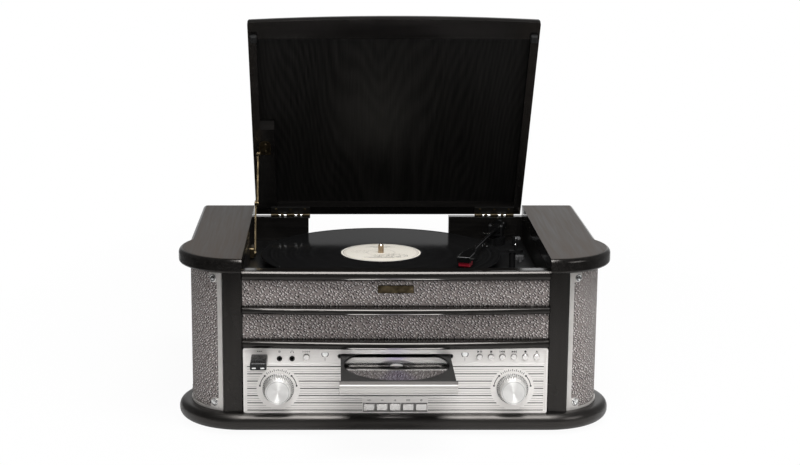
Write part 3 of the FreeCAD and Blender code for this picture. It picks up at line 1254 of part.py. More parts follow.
def arm_yoke():
    """A turning fork on a spigot that carries the arm's cross pin."""
    floor_top = -YOKE_DROP
    floor_low = V(0, 0, floor_top - YOKE_FLOOR)
    disc = rod(YOKE_RADIUS, floor_low, V(0, 0, floor_top))
    spigot = rod(YOKE_SPIGOT_RADIUS, floor_low - ALONG_Z * YOKE_SPIGOT, floor_low)
    inner = ARM_BLOCK_WIDTH / 2 + SEAT_GAP
    cheeks = []
    for side in (-1, 1):
        x0, x1 = sorted((side * inner, side * (inner + YOKE_CHEEK)))
        cheek = box(x0, x1, -YOKE_CHEEK_LENGTH / 2, YOKE_CHEEK_LENGTH / 2, floor_top, YOKE_TOP)
        cheeks.append(rounded(cheek, YOKE_CHEEK_ROUND, lambda edge: runs_along(edge, ALONG_X)
                              and edge.CenterOfMass.z > 0))
    fork = joined(disc, spigot, *cheeks)
    reach = inner + YOKE_CHEEK + 1
    return set_arm(fork.cut(rod(ARM_PIN_RADIUS + RUNNING_FIT, V(-reach, 0, 0), V(reach, 0, 0))))


def lift_place():
    heading = arm_heading((ARM_PARK_SWING_DEG - ARM_INNER_SWING_DEG) / 2)
    return polar(at(ARM, 0), LIFT_RADIUS, heading)


def arm_base():
    """A plate on the deck with the arm's bearing, the lift bar's guide and the cue lever's lug."""
    plate = box(ARM_X - ARM_BASE_LEFT, HALF_WELL - ARM_BASE_RIGHT_ROOM, ARM_Y - ARM_BASE_FRONT,
                ARM_Y + ARM_BASE_BACK, DECK_TOP, ARM_BASE_TOP)
    plate = rounded(plate, ARM_BASE_CORNER, lambda edge: runs_along(edge, ALONG_Z))
    column = rod(YOKE_RADIUS, at(ARM, DECK_TOP), at(ARM, YOKE_BOTTOM - SEAT_GAP))
    guide = rod(LIFT_BOSS_RADIUS, at(lift_place(), DECK_TOP),
                at(lift_place(), LIFT_TOP - LIFT_BAR_HEIGHT - LIFT_BOSS_GAP))
    lug_x = CUE_X - CUE_HUB_WIDTH / 2 - SEAT_GAP
    cue_z = DECK_TOP + CUE_RISE
    lug = box(lug_x - CUE_LUG, lug_x, CUE_Y - CUE_HUB_RADIUS, CUE_Y + CUE_HUB_RADIUS, DECK_TOP,
              cue_z + CUE_HUB_RADIUS)
    base = joined(plate, column, guide, lug)
    base = base.cut(rod(YOKE_SPIGOT_RADIUS + RUNNING_FIT, at(ARM, YOKE_BOTTOM - YOKE_SPIGOT - SEAT_GAP),
                        at(ARM, YOKE_BOTTOM)))
    base = base.cut(rod(LIFT_POST_RADIUS + RUNNING_FIT, at(lift_place(), DECK_TOP - 1),
                        at(lift_place(), LIFT_TOP)))
    return base.cut(rod(ARM_PIN_RADIUS + RUNNING_FIT, V(lug_x - CUE_LUG - 1, CUE_Y, cue_z),
                        V(CUE_X, CUE_Y, cue_z)))


def lift_bar():
    """An arc under the arm's whole swing, on a post that slides in the base."""
    start = arm_heading(-ARM_INNER_SWING_DEG - LIFT_BAR_OVERRUN_DEG)
    end = arm_heading(ARM_PARK_SWING_DEG + LIFT_BAR_OVERRUN_DEG)
    inner = LIFT_RADIUS - LIFT_BAR_WIDTH / 2
    bar = sector(at(ARM, 0), inner, inner + LIFT_BAR_WIDTH, start, end, LIFT_TOP - LIFT_BAR_HEIGHT, LIFT_TOP)
    post = rod(LIFT_POST_RADIUS, at(lift_place(), LIFT_TOP - LIFT_BAR_HEIGHT - LIFT_POST),
               at(lift_place(), LIFT_TOP - LIFT_BAR_HEIGHT))
    return joined(bar, post)


def cue_lever():
    centre = V(CUE_X, CUE_Y, DECK_TOP + CUE_RISE)
    half = CUE_HUB_WIDTH / 2
    hub = rod(CUE_HUB_RADIUS, centre - ALONG_X * half, centre + ALONG_X * half)
    pin = rod(ARM_PIN_RADIUS, centre - ALONG_X * (half + SEAT_GAP + CUE_LUG), centre)
    tip = centre - ALONG_Y * CUE_LENGTH
    handle = rod(CUE_ROD_RADIUS, centre, tip)
    profile = [(0, 0), (CUE_ROD_RADIUS, 0), (CUE_GRIP_RADIUS, CUE_GRIP_TAPER),
               (CUE_GRIP_RADIUS, CUE_GRIP_LENGTH - CUE_GRIP_BEVEL),
               (CUE_GRIP_RADIUS - CUE_GRIP_BEVEL, CUE_GRIP_LENGTH), (0, CUE_GRIP_LENGTH)]
    grip = turned(profile, tip + ALONG_Y * CUE_GRIP_LENGTH, -ALONG_Y)
    return spun(joined(hub, pin, handle, grip), centre, -ALONG_X, CUE_TILT_DEG)


def speed_lever():
    base = V(SPEED_X, SPEED_Y, DECK_TOP + JOIN_GAP)
    profile = [(0, 0), (SPEED_HUB_RADIUS, 0), (SPEED_HUB_RADIUS - SPEED_HUB_TAPER, SPEED_HUB_HEIGHT),
               (0, SPEED_HUB_HEIGHT)]
    hub = turned(profile, base)
    half = SPEED_LEVER_WIDTH / 2
    tip = base - ALONG_Y * SPEED_LEVER_LENGTH
    bar = box(SPEED_X - half, SPEED_X + half, tip.y, SPEED_Y, base.z, base.z + SPEED_HUB_HEIGHT)
    grip = rod(half, tip, tip + ALONG_Z * SPEED_KNOB_HEIGHT)
    pin = rod(SPEED_PIN_RADIUS, V(SPEED_X, SPEED_Y, DECK_BOTTOM), base)
    return joined(hub, bar, grip, pin)


def power_supply():
    """A transformer: a coil in a laminated core, on feet that stand on the plinth."""
    base = V(SUPPLY_LEFT_ROOM - HALF_WELL, BACK_Y - SUPPLY_BACK_ROOM, PLINTH_TOP)
    core_low = SUPPLY_FOOT
    core_high = SUPPLY_FOOT + CORE_HEIGHT
    core = supply_block(CORE_WIDTH, CORE_DEPTH, core_low, core_high)
    window = supply_block(CORE_WIDTH - 2 * CORE_LIMB, CORE_DEPTH + 2,
                          core_low + CORE_LIMB, core_high - CORE_LIMB)
    limb = supply_block(2 * CORE_LIMB, CORE_DEPTH, core_low, core_high)
    foot = supply_block(SUPPLY_FOOT_WIDTH, CORE_DEPTH, 0, SUPPLY_FOOT)
    iron = joined(core.cut(window), limb, foot)
    coil = supply_block(CORE_WIDTH - 2 * CORE_LIMB - 2 * COIL_GAP, COIL_DEPTH,
                        core_low + CORE_LIMB + COIL_GAP, core_high - CORE_LIMB - COIL_GAP)
    coil = rounded(coil, COIL_ROUND, lambda edge: runs_along(edge, ALONG_Z)).cut(limb)
    return Part.makeCompound([moved(iron, base), moved(coil, base)])


def supply_block(width, depth, z0, z1):
    return box(-width / 2, width / 2, -depth / 2, depth / 2, z0, z1)


# Lid, hinges and stay

def opened(shape):
    """Turn a piece that is drawn with the lid shut to where it is with the lid open."""
    return spun(shape, HINGE, ALONG_X, -LID_OPEN_DEG)


def lid_slab():
    """The shut lid's outer form, before the recess under it is taken out."""
    top = LID_BOARD_Z + LID_BOARD
    front_round = min(LID_FRONT_ROUND, top - LID_RIM - JOIN_GAP)
    slab = bowed_slab(LID_HALF, LID_FRONT_Y, LID_BOW, LID_REAR_Y, LID_RIM, top)
    slab = rounded(slab, front_round, lambda edge: is_level(edge) and edge.CenterOfMass.z > top - 0.1
                   and edge.CenterOfMass.y < LID_FRONT_Y)
    return rounded(slab, min(LID_ROUND, LID_BOARD - JOIN_GAP), lambda edge: is_level(edge)
                   and edge.CenterOfMass.z > top - 0.1
                   and edge.CenterOfMass.y > LID_FRONT_Y + LID_FRONT_RAIL)


def lid_board():
    above = box(-LID_HALF, LID_HALF, LID_FRONT_Y - LID_BOW - 1, LID_REAR_Y, LID_BOARD_Z, LID_BOARD_Z + LID_BOARD)
    return opened(lid_slab().common(above).Solids[0])


def lid_rails():
    """The rails under the board's edges, and the block that carries the stay."""
    front_back = LID_FRONT_Y + LID_FRONT_RAIL
    rear_front = LID_REAR_Y - LID_REAR_RAIL
    front = lid_slab().common(box(-LID_HALF, LID_HALF, LID_FRONT_Y - LID_BOW - 1, front_back,
                                  LID_RIM, LID_BOARD_Z)).Solids[0]
    rear = box(-LID_HALF, LID_HALF, rear_front, LID_REAR_Y, LID_RIM, LID_BOARD_Z)
    left = box(-LID_HALF, -LID_INNER, front_back, rear_front, LID_RIM, LID_BOARD_Z)
    block = box(-LID_INNER, -LID_INNER + STAY_BLOCK_WIDTH, rear_front - STAY_BLOCK_LENGTH, rear_front,
                LID_RIM, LID_BOARD_Z)
    block = block.makeChamfer(STAY_BLOCK_BEVEL, [edge for edge in block.Edges if runs_along(edge, ALONG_X)
                              and edge.CenterOfMass.y < rear_front - 1 and edge.CenterOfMass.z < LID_RIM + 1])
    return Part.makeCompound([opened(piece) for piece in (front, rear, left, mirrored(left), block)])


def knuckle(x, width):
    return rod(KNUCKLE_RADIUS, V(x - width / 2, HINGE_Y, HINGE_Z), V(x + width / 2, HINGE_Y, HINGE_Z))


def knuckle_room(x, width):
    half = width / 2 + SEAT_GAP
    return rod(KNUCKLE_RADIUS + SEAT_GAP, V(x - half, HINGE_Y, HINGE_Z), V(x + half, HINGE_Y, HINGE_Z))


def hinge_bore(x):
    half = HINGE_LENGTH
    return rod(HINGE_PIN_RADIUS + RUNNING_FIT, V(x - half, HINGE_Y, HINGE_Z), V(x + half, HINGE_Y, HINGE_Z))


def lid_knuckle_places(x):
    outer = HINGE_LENGTH / 2 - LID_KNUCKLE / 2
    return [x - outer, x, x + outer]


def cabinet_knuckle_places(x):
    outer = HINGE_LENGTH / 4 - LID_KNUCKLE / 4 + CABINET_KNUCKLE / 8
    return [x - outer, x + outer]


def hinge_half(x, leaf, own, own_width, other, other_width):
    half = leaf
    for place in own:
        half = half.fuse(knuckle(place, own_width))
    half = half.removeSplitter()
    for place in other:
        half = half.cut(knuckle_room(place, other_width))
    return half.cut(hinge_bore(x))


def hinge_lid_leaves():
    halves = []
    for x in HINGE_CENTRES_X:
        leaf = box(x - HINGE_LENGTH / 2, x + HINGE_LENGTH / 2, HINGE_Y - HINGE_LEAF, HINGE_Y,
                   LID_RIM - HINGE_LEAF_THICKNESS, LID_RIM)
        halves.append(opened(hinge_half(x, leaf, lid_knuckle_places(x), LID_KNUCKLE,
                                        cabinet_knuckle_places(x), CABINET_KNUCKLE)))
    return Part.makeCompound(halves)


def hinge_cabinet_leaves():
    """Each lower leaf lies in its seat on the back panel, with the hinge's pin through its knuckles."""
    pieces = []
    for x in HINGE_CENTRES_X:
        leaf = box(x - HINGE_LENGTH / 2, x + HINGE_LENGTH / 2, HINGE_Y - HINGE_LEAF / 2,
                   HINGE_Y + HINGE_LEAF / 2, WALL_TOP, WALL_TOP + HINGE_LEAF_THICKNESS)
        pieces.append(hinge_half(x, leaf, cabinet_knuckle_places(x), CABINET_KNUCKLE,
                                 lid_knuckle_places(x), LID_KNUCKLE))
        half = HINGE_LENGTH / 2
        pieces.append(rod(HINGE_PIN_RADIUS, V(x - half, HINGE_Y, HINGE_Z), V(x + half, HINGE_Y, HINGE_Z)))
    return Part.makeCompound(pieces)


def stay_lid_open():
    """The stay's pivot on the lid, with the lid open."""
    place = Part.Vertex(STAY_LID)
    place.rotate(HINGE, ALONG_X, -LID_OPEN_DEG)
    return place.Point


def stay_elbow():
    return STAY_WALL + (stay_lid_open() - STAY_WALL) * STAY_FOLD_SHARE


def stay_bar(x, start, end, bored):
    """A flat bar with a round eye at each end, bored where its pins are."""
    along = (end - start).normalize()
    across = ALONG_X.cross(along) * (STAY_BAR_WIDTH / 2)
    corners = [start - across, end - across, end + across, start + across]
    bar = Part.Face(Part.Wire(polygon(corners))).extrude(ALONG_X * STAY_BAR)
    for eye in (start, end):
        bar = bar.fuse(rod(STAY_EYE_RADIUS, eye, eye + ALONG_X * STAY_BAR))
    bar = bar.removeSplitter()
    for hole in bored:
        bar = bar.cut(rod(STAY_PIN_RADIUS + RUNNING_FIT, hole - ALONG_X, hole + ALONG_X * (STAY_BAR + 1)))
    return moved(bar, ALONG_X * x)


def stay_lower_arm():
    bar = stay_bar(STAY_LOWER_X, STAY_WALL, stay_elbow(), [STAY_WALL])
    elbow = stay_elbow() + ALONG_X * STAY_LOWER_X
    return joined(bar, rod(STAY_RIVET_RADIUS, elbow - ALONG_X * STAY_PLANE_GAP, elbow))


def stay_upper_arm():
    lid_pivot = stay_lid_open()
    bar = stay_bar(STAY_UPPER_X, stay_elbow(), lid_pivot, [lid_pivot])
    elbow = stay_elbow() + ALONG_X * (STAY_UPPER_X + STAY_BAR)
    return joined(bar, rod(STAY_RIVET_RADIUS, elbow, elbow + ALONG_X * STAY_PLANE_GAP))


def stay_cabinet_bracket():
    half = STAY_PLATE_LENGTH / 2
    plate = box(-HALF_WELL, -HALF_WELL + STAY_WALL_PLATE, STAY_WALL.y - half, STAY_WALL.y + half,
                STAY_WALL.z - STAY_EYE_RADIUS, STAY_WALL.z - STAY_EYE_RADIUS + STAY_PLATE_HEIGHT)
    plate = rounded(plate, STAY_PLATE_ROUND, lambda edge: runs_along(edge, ALONG_X))
    pin = rod(STAY_PIN_RADIUS, STAY_WALL - ALONG_X * HALF_WELL,
              STAY_WALL + ALONG_X * (STAY_LOWER_X + STAY_BAR + STAY_PLANE_GAP / 2))
    return joined(plate, pin)


def stay_lid_bracket():
    """A foot on the lid's rim with an ear that carries the upper arm's pin."""
    front = STAY_LID.y - STAY_FOOT_AHEAD
    foot = box(STAY_EAR_X, STAY_EAR_X + STAY_FOOT_WIDTH, front, STAY_LID.y + STAY_EYE_RADIUS,
               LID_RIM - STAY_PLATE, LID_RIM)
    foot = rounded(foot, STAY_FOOT_ROUND, lambda edge: runs_along(edge, ALONG_Z)
                   and edge.CenterOfMass.y < front + 1)
    ear = box(STAY_EAR_X, STAY_EAR_X + STAY_PLATE, STAY_LID.y - STAY_EYE_RADIUS, STAY_LID.y + STAY_EYE_RADIUS,
              STAY_LID.z, LID_RIM)
    eye = rod(STAY_EYE_RADIUS, STAY_LID + ALONG_X * STAY_EAR_X,
              STAY_LID + ALONG_X * (STAY_EAR_X + STAY_PLATE))
    pin = rod(STAY_PIN_RADIUS, STAY_LID + ALONG_X * (STAY_UPPER_X - STAY_PLANE_GAP / 2),
              STAY_LID + ALONG_X * STAY_EAR_X)
    return opened(joined(foot, ear, eye, pin))


def all_parts():
    makers = [base_plinth, rubber_feet, top_boards, front_stiles, well_walls, side_walls, back_panel,
              front_rails, cloth_panels, control_panel, grille_frames, grille_cloths, grille_screws,
              speaker_drivers, sockets, deck_plate, arm_base, drive_motor, drive_belt, cd_chassis,
              control_board, power_supply, hinge_cabinet_leaves, stay_cabinet_bracket, lid_board,
              lid_rails, hinge_lid_leaves, stay_lid_bracket, stay_lower_arm, stay_upper_arm, platter,
              slip_mat, spindle, record, motor_pulley, arm_yoke, tonearm_tube, headshell, cartridge,
              lift_bar, cue_lever, speed_lever, cd_tray, cd_tray_front, compact_disc, usb_stick]
    parts = {maker.__name__: maker() for maker in makers}
    parts["volume_knob"] = knob(-KNOB_X)
    parts["tuning_knob"] = knob(KNOB_X)
    parts["function_button"] = round_button(FUNCTION_X)
    for name, x in zip(BUTTON_NAMES, button_xs()):
        parts[name + "_button"] = round_button(x)
    for name, x in zip(KEY_NAMES, key_xs()):
        parts[name + "_key"] = flat_key(x)
    return parts


def main():
    os.makedirs("parts", exist_ok=True)
    for name, shape in all_parts().items():
        moved(shape, TO_ORIGIN).exportStep(os.path.join("parts", name + ".step"))


main()
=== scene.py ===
import math

import bpy
from mathutils import Matrix, Vector


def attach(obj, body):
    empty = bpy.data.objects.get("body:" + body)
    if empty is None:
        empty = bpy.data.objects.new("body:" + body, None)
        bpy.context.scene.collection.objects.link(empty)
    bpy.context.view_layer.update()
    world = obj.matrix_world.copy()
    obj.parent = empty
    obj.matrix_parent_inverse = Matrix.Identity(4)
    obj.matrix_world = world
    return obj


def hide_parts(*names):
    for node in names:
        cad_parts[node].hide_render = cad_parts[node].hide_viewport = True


# Looks of a record player with a lid, a disc drawer and a radio.
# Places are in millimetres in the part's drawing frame, with Y back from the front of the side boards.
# mm() takes such a place to the row's frame, in metres.

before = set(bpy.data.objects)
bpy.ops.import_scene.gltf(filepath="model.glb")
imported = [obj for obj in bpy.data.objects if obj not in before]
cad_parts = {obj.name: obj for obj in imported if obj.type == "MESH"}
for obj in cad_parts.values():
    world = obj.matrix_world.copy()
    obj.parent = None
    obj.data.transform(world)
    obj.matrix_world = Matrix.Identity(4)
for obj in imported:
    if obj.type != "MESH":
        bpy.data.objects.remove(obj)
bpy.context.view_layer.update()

DRAWING_Y = 116.45               # the row frame's origin
HINGE = (0, 313.0, 199.6)        # a point on the lid's axis
HINGES_X = (-130.0, 140.5)
LID_OPEN = math.radians(56.3)
LID_RIM = 203.2                  # lower edge of the shut lid
SPINDLE = (-13.0, 185.6, 177.5)  # where the spindle leaves the record
DISC = (0, -31.5, 94.1)          # middle of the compact disc
KNOB_X = 137.0
KNOB_Z = 55.0
STICK_X = -158.5                 # middle of the memory stick
POD_X = 180.5                    # axis of a curved speaker grille
POD_Y = 73.0
POD_RADIUS = 62.0
PANEL_Y = 6.0                    # face of the control panel's ribs
STRIP_Y = 6.6                    # face of the strip above them
CLOTH_Y = 10.0                   # face of the cloth strips
BACK_Y = 320.0                   # back of the cabinet

UP = Vector((0, 0, 1))
FRONT = Vector((0, -1, 0))
BACK = Vector((0, 1, 0))
RIGHT = Vector((1, 0, 0))


def mm(x, y, z):
    return Vector((x, y - DRAWING_Y, z)) / 1000


def on_lid(x, y, z):
    """A place drawn with the lid shut, taken to where it is with the lid open."""
    turn = Matrix.Rotation(-LID_OPEN, 3, "X")
    return mm(*HINGE) + turn @ (mm(x, y, z) - mm(*HINGE))


# Materials

class Nodes:
    """A node tree, with short calls that add nodes to it."""

    def __init__(self, tree):
        self.tree = tree

    def feed(self, socket, value):
        if isinstance(value, bpy.types.NodeSocket):
            self.tree.links.new(value, socket)
        elif socket.type == "RGBA":
            socket.default_value = (*value, 1)
        else:
            socket.default_value = value

    def outputs(self, kind, inputs, **properties):
        node = self.tree.nodes.new("ShaderNode" + kind)
        for name, value in properties.items():
            setattr(node, name, value)
        for name, value in inputs.items():
            self.feed(node.inputs[name], value)
        return node.outputs

    def node(self, kind, inputs, output=0, **properties):
        return self.outputs(kind, inputs, **properties)[output]

    def coords(self):
        return self.node("TexCoord", {}, "Object")

    def uv(self):
        return self.node("TexCoord", {}, "UV")

    def facing(self):
        return self.node("NewGeometry", {}, "Normal")

    def vector(self, operation, first, second):
        return self.node("VectorMath", {0: first, 1: second}, operation=operation)

    def around(self, centre):
        return self.vector("SUBTRACT", self.coords(), centre)

    def stretch(self, vector, scale):
        return self.vector("MULTIPLY", vector, scale)

    def turn(self, vector, axis, angle):
        return self.node("VectorRotate", {"Vector": vector, "Angle": angle}, rotation_type=axis + "_AXIS")

    def lean(self, way):
        return self.vector("NORMALIZE", self.vector("ADD", self.facing(), way), (0, 0, 0))

    def split(self, vector):
        return self.outputs("SeparateXYZ", {0: vector})

    def length(self, vector):
        return self.node("VectorMath", {0: vector}, "Value", operation="LENGTH")

    def flat_radius(self, vector, axis):
        keep = [1, 1, 1]
        keep[axis] = 0
        return self.length(self.stretch(vector, keep))

    def calc(self, operation, first, second=0.0):
        return self.node("Math", {0: first, 1: second}, operation=operation)

    def plus(self, first, second):
        return self.calc("ADD", first, second)

    def minus(self, first, second):
        return self.calc("SUBTRACT", first, second)

    def times(self, first, second):
        return self.calc("MULTIPLY", first, second)

    def over(self, first, second):
        return self.calc("DIVIDE", first, second)

    def most(self, first, second):
        return self.calc("MAXIMUM", first, second)

    def size(self, value):
        return self.calc("ABSOLUTE", value)

    def sine(self, value):
        return self.calc("SINE", value)

    def weigh(self, first, weight, second, other_weight):
        """Two patterns added by weight."""
        return self.plus(self.times(first, weight), self.times(second, other_weight))

    def range(self, value, low, high, to_low=0.0, to_high=1.0):
        return self.node("MapRange", {0: value, 1: low, 2: high, 3: to_low, 4: to_high})

    def rise(self, value, low, high):
        """From 0 to 1 as a length goes between two sizes given in mm."""
        return self.range(value, low / 1000, high / 1000)

    def fall(self, value, low, high):
        """From 1 to 0 as a length goes between two sizes given in mm."""
        return self.range(value, low / 1000, high / 1000, 1, 0)

    def within(self, value, low, high, soft=0.1):
        """1 where a length lies between two sizes given in mm."""
        return self.times(self.rise(value, low - soft, low + soft),
                          self.rise(value, high + soft, high - soft))

    def noise(self, vector, scale=1.0, detail=4.0, warp=0.0):
        return self.node("TexNoise", {"Vector": vector, "Scale": scale, "Detail": detail, "Distortion": warp})

    def rings(self, radius, scale, detail):
        """Noise that changes with the radius alone."""
        return self.noise(self.node("CombineXYZ", {0: self.times(radius, scale)}), 1, detail)

    def cells(self, vector, scale, stray=1.0, output="Distance"):
        sockets = {"Vector": vector, "Scale": scale, "Randomness": stray}
        return self.node("TexVoronoi", sockets, output, voronoi_dimensions="2D")

    def mix(self, share, first, second):
        return self.node("Mix", {0: share, 6: first, 7: second}, 2, data_type="RGBA")

    def bump(self, height, strength, depth, normal=None):
        sockets = {"Height": height, "Strength": strength, "Distance": depth / 1000}
        if normal is not None:
            sockets["Normal"] = normal
        return self.node("Bump", sockets)


SOCKETS = {
    "colour": "Base Color", "rough": "Roughness", "metal": "Metallic", "spec": "Specular IOR Level",
    "normal": "Normal", "tangent": "Tangent", "aniso": "Anisotropic", "coat": "Coat Weight",
    "sheen": "Sheen Weight", "glow": "Emission Strength", "glow_colour": "Emission Color",
    "tint": "Specular Tint",
}


class Shader(Nodes):
    """The node tree of a principled material."""

    def __init__(self, name, **sockets):
        self.material = bpy.data.materials.new(name)
        self.material.use_nodes = True
        super().__init__(self.material.node_tree)
        self.surface = self.tree.nodes["Principled BSDF"]
        self.set(**sockets)

    def set(self, **sockets):
        for name, value in sockets.items():
            self.feed(self.surface.inputs[SOCKETS[name]], value)


# Wood
GRAIN_ACROSS = 260
GRAIN_ALONG = 9
BLACK = ((0.0042, 0.0039, 0.0037), (0.0098, 0.009, 0.0084))
# Level faces: the wood's brown, made lighter as painted light on the tops
LIT_TOP_BROWN = ((0.01, 0.0058, 0.003), (0.034, 0.0215, 0.0125))
WARM_GLOSS = (1.0, 0.94, 0.89)


def lacquer(name, along, rough, spec, level_rough=None):
    """Black lacquer, with the grain of the wood faintly through it.

    Given level_rough, level faces are less polished and painted a lighter brown, partly the wood's brown and
    partly painted light on the tops."""
    s = Shader(name, spec=spec, tint=WARM_GLOSS)
    scale = [GRAIN_ACROSS] * 3
    scale[along] = GRAIN_ALONG
    grain = s.noise(s.stretch(s.coords(), scale), 1, 6, 0.6)
    cloud = s.noise(s.coords(), 22, 3)
    polish = s.range(cloud, 0.3, 0.7, rough - 0.04, rough + 0.04)
    tone = s.range(grain, 0.35, 0.7)
    colour = s.mix(tone, *BLACK)
    if level_rough is not None:
        level = s.range(s.split(s.facing())[2], 0.93, 0.985)
        satin = s.range(grain, 0.3, 0.7, level_rough - 0.05, level_rough + 0.05)
        polish = s.plus(s.times(satin, level), s.times(polish, s.minus(1.0, level)))
        # Painted light: only level faces take the lighter brown, as if lit from above
        colour = s.mix(level, colour, s.mix(tone, *LIT_TOP_BROWN))
    s.set(colour=colour, rough=polish, normal=s.bump(grain, 0.07, 0.2))
    return s.material


def lid_lacquer():
    """Lacquer over a veneer whose arched figure shows under the lid."""
    s = Shader("lid_lacquer", spec=0.15)
    flat = s.turn(s.around(mm(*HINGE)), "X", LID_OPEN)
    x, y = s.split(flat)[:2]
    drift = s.noise(s.stretch(flat, (9, 2.2, 9)), 1, 2)
    arch = s.weigh(s.calc("POWER", s.size(x), 1.6), 120, y, 9)
    arch = s.plus(arch, s.times(drift, 5.5))
    rings = s.sine(s.times(arch, 16))
    pores = s.noise(s.stretch(flat, (700, 20, 700)), 1, 5, 0.4)
    figure = s.plus(s.times(rings, 0.12), pores)
    s.set(colour=s.mix(s.range(figure, 0.3, 0.75), (0.0048, 0.0046, 0.0044), (0.014, 0.0132, 0.0124)),
          rough=s.range(figure, 0.2, 0.8, 0.32, 0.44), normal=s.bump(figure, 0.1, 0.15))
    return s.material


# Cloth
THREAD = 0.0011                 # two threads of the weave, in metres
KNOTS = 300                     # knots to a metre
KNOT_STRAY = 0.75
KNOT_LEAN = math.radians(40)


def knots(s, vector, chosen, reach):
    """Spots on some of the cells of a pattern."""
    some = s.range(s.split(s.cells(vector, KNOTS, KNOT_STRAY, "Color"))[0], *chosen)
    near = s.range(s.cells(vector, KNOTS, KNOT_STRAY), *reach, 1, 0)
    return s.times(near, some)


def grille_cloth():
    """Woven grey-mauve cloth with small raised knots, each painted pale as a highlight, with a painted shadow
    beside it.
    """
    s = Shader("grille_cloth", rough=0.9, spec=0.08, sheen=0.1)
    flat = s.uv()
    drift = s.node("TexNoise", {"Vector": flat, "Scale": 520}, "Color")
    wander = s.stretch(s.vector("SUBTRACT", drift, (0.5, 0.5, 0.5)), (0.0026, 0.0026, 0))
    slant = s.stretch(s.turn(s.vector("ADD", flat, wander), "Z", KNOT_LEAN), (0.78, 1.35, 1))
    # Painted highlight: the pale tops of the raised knots
    lit_knot = knots(s, slant, (0.14, 0.2), (0.17, 0.3))
    # Painted shadow: the same spots moved aside, beside each knot
    knot_shadow = knots(s, s.vector("ADD", slant, (0.0004, 0.0011, 0)), (0.08, 0.14), (0.25, 0.42))
    u, v = s.split(flat)[:2]
    warp = s.sine(s.times(u, 2 * math.pi / THREAD))
    weft = s.sine(s.times(v, 2 * math.pi / THREAD))
    tone = s.noise(flat, 520, 3)
    slub = s.noise(s.stretch(flat, (60, 900, 1)), 1, 3)
    body = s.range(s.weigh(tone, 0.7, slub, 0.3), 0.32, 0.68)
    body = s.mix(body, (0.14, 0.122, 0.117), (0.29, 0.258, 0.247))
    # Painted shadow and painted highlight of the knots go onto the cloth's colour
    body = s.mix(knot_shadow, body, (0.018, 0.016, 0.0155))
    body = s.mix(lit_knot, body, (0.64, 0.605, 0.59))
    height = s.weigh(s.times(warp, weft), 0.25, lit_knot, 1.0)
    s.set(colour=body, normal=s.bump(height, 0.5, 0.3))
    return s.material


# Silver
RIBS_TOP = 83.0
RIB_DEEP = (PANEL_Y + 0.1, PANEL_Y + 0.8)
KEY_BAY_X = 37.7
KEY_BAY_Z = (26.6, 37.3)
# Heights of the drawer's painted bevel shade and of its painted shade line
DRAWER_BEVEL = (92.6, 93.0)
DRAWER_SHADE_LINE = (89.9, 90.5)
KNURLS = 24
# Where a knob's flank starts, by radius and by depth, and where its grip and the painted shade of its cut
# ring lie
KNOB_FLANK = (14.4, 14.8)
KNOB_FACE = (-11.0, -9.8)
KNOB_GRIP = (-4.5, 4.5)
KNOB_RING_SHADE = (12.9, 13.3)


def silver_paint(s, low, high):
    """Tone of brushed silver paint with flakes in it, and the two patterns it is made of."""
    brushed = s.noise(s.stretch(s.coords(), (14, 300, 1500)), 1, 3)
    flake = s.noise(s.coords(), 2600, 2)
    tone = s.weigh(brushed, 0.6, flake, 0.4)
    return s.mix(s.range(tone, 0.3, 0.7), low, high), brushed, flake


def panel_paint():
    """Satin silver paint, with painted shade in the grooves and in the gaps round the keys."""
    s = Shader("panel_silver", metal=0.25, spec=0.5)
    x, y, z = s.split(s.coords())
    face, brushed, flake = silver_paint(s, (0.72, 0.692, 0.668), (0.84, 0.812, 0.787))
    # Painted shade at the bottoms of the rib grooves
    deep = s.rise(y, RIB_DEEP[0] - DRAWING_Y, RIB_DEEP[1] - DRAWING_Y)
    groove_shade = s.times(deep, s.rise(z, RIBS_TOP + 0.2, RIBS_TOP))
    face = s.mix(groove_shade, face, (0.085, 0.082, 0.078))
    # Painted shade in the gaps round the keys
    key_gap_shade = s.times(s.within(x, -KEY_BAY_X, KEY_BAY_X), s.within(z, *KEY_BAY_Z))
    face = s.mix(s.times(key_gap_shade, 0.85), face, (0.07, 0.067, 0.063))
    s.set(colour=face, rough=s.range(brushed, 0.3, 0.7, 0.3, 0.42), normal=s.bump(flake, 0.06, 0.05))
    return s.material


def drawer_paint():
    """Duller silver paint, with painted shade on the bevel and a painted shade line under it where a groove
    would be.
    """
    s = Shader("drawer_silver", metal=0.2, spec=0.05)
    z = s.split(s.coords())[2]
    face, brushed, flake = silver_paint(s, (0.52, 0.502, 0.482), (0.62, 0.602, 0.58))
    lip = s.range(s.split(s.facing())[2], 0.3, 0.6)
    # Painted shade on the bevel under the tray's lip
    bevel = s.times(lip, s.rise(z, *DRAWER_BEVEL))
    face = s.mix(bevel, face, (0.165, 0.156, 0.149))
    # Painted shade line, for a groove
    face = s.mix(s.times(s.within(z, *DRAWER_SHADE_LINE, 0.2), 0.6), face, (0.1, 0.094, 0.088))
    satin = s.most(s.range(brushed, 0.3, 0.7, 0.34, 0.46), s.times(lip, 0.58))
    satin = s.most(satin, s.times(bevel, 0.95))
    s.set(colour=face, rough=satin, normal=s.bump(flake, 0.06, 0.05))
    return s.material


def satin_silver(name, low, high, rough, metal):
    """Plated plastic with a fine sparkle."""
    s = Shader(name, metal=metal, spec=0.5)
    flake = s.noise(s.coords(), 1800, 3)
    cloud = s.noise(s.coords(), 60, 3)
    tone = s.weigh(flake, 0.4, cloud, 0.6)
    s.set(colour=s.mix(s.range(tone, 0.3, 0.7), low, high),
          rough=s.range(cloud, 0.3, 0.7, rough - 0.05, rough + 0.07), normal=s.bump(flake, 0.05, 0.05))
    return s.material


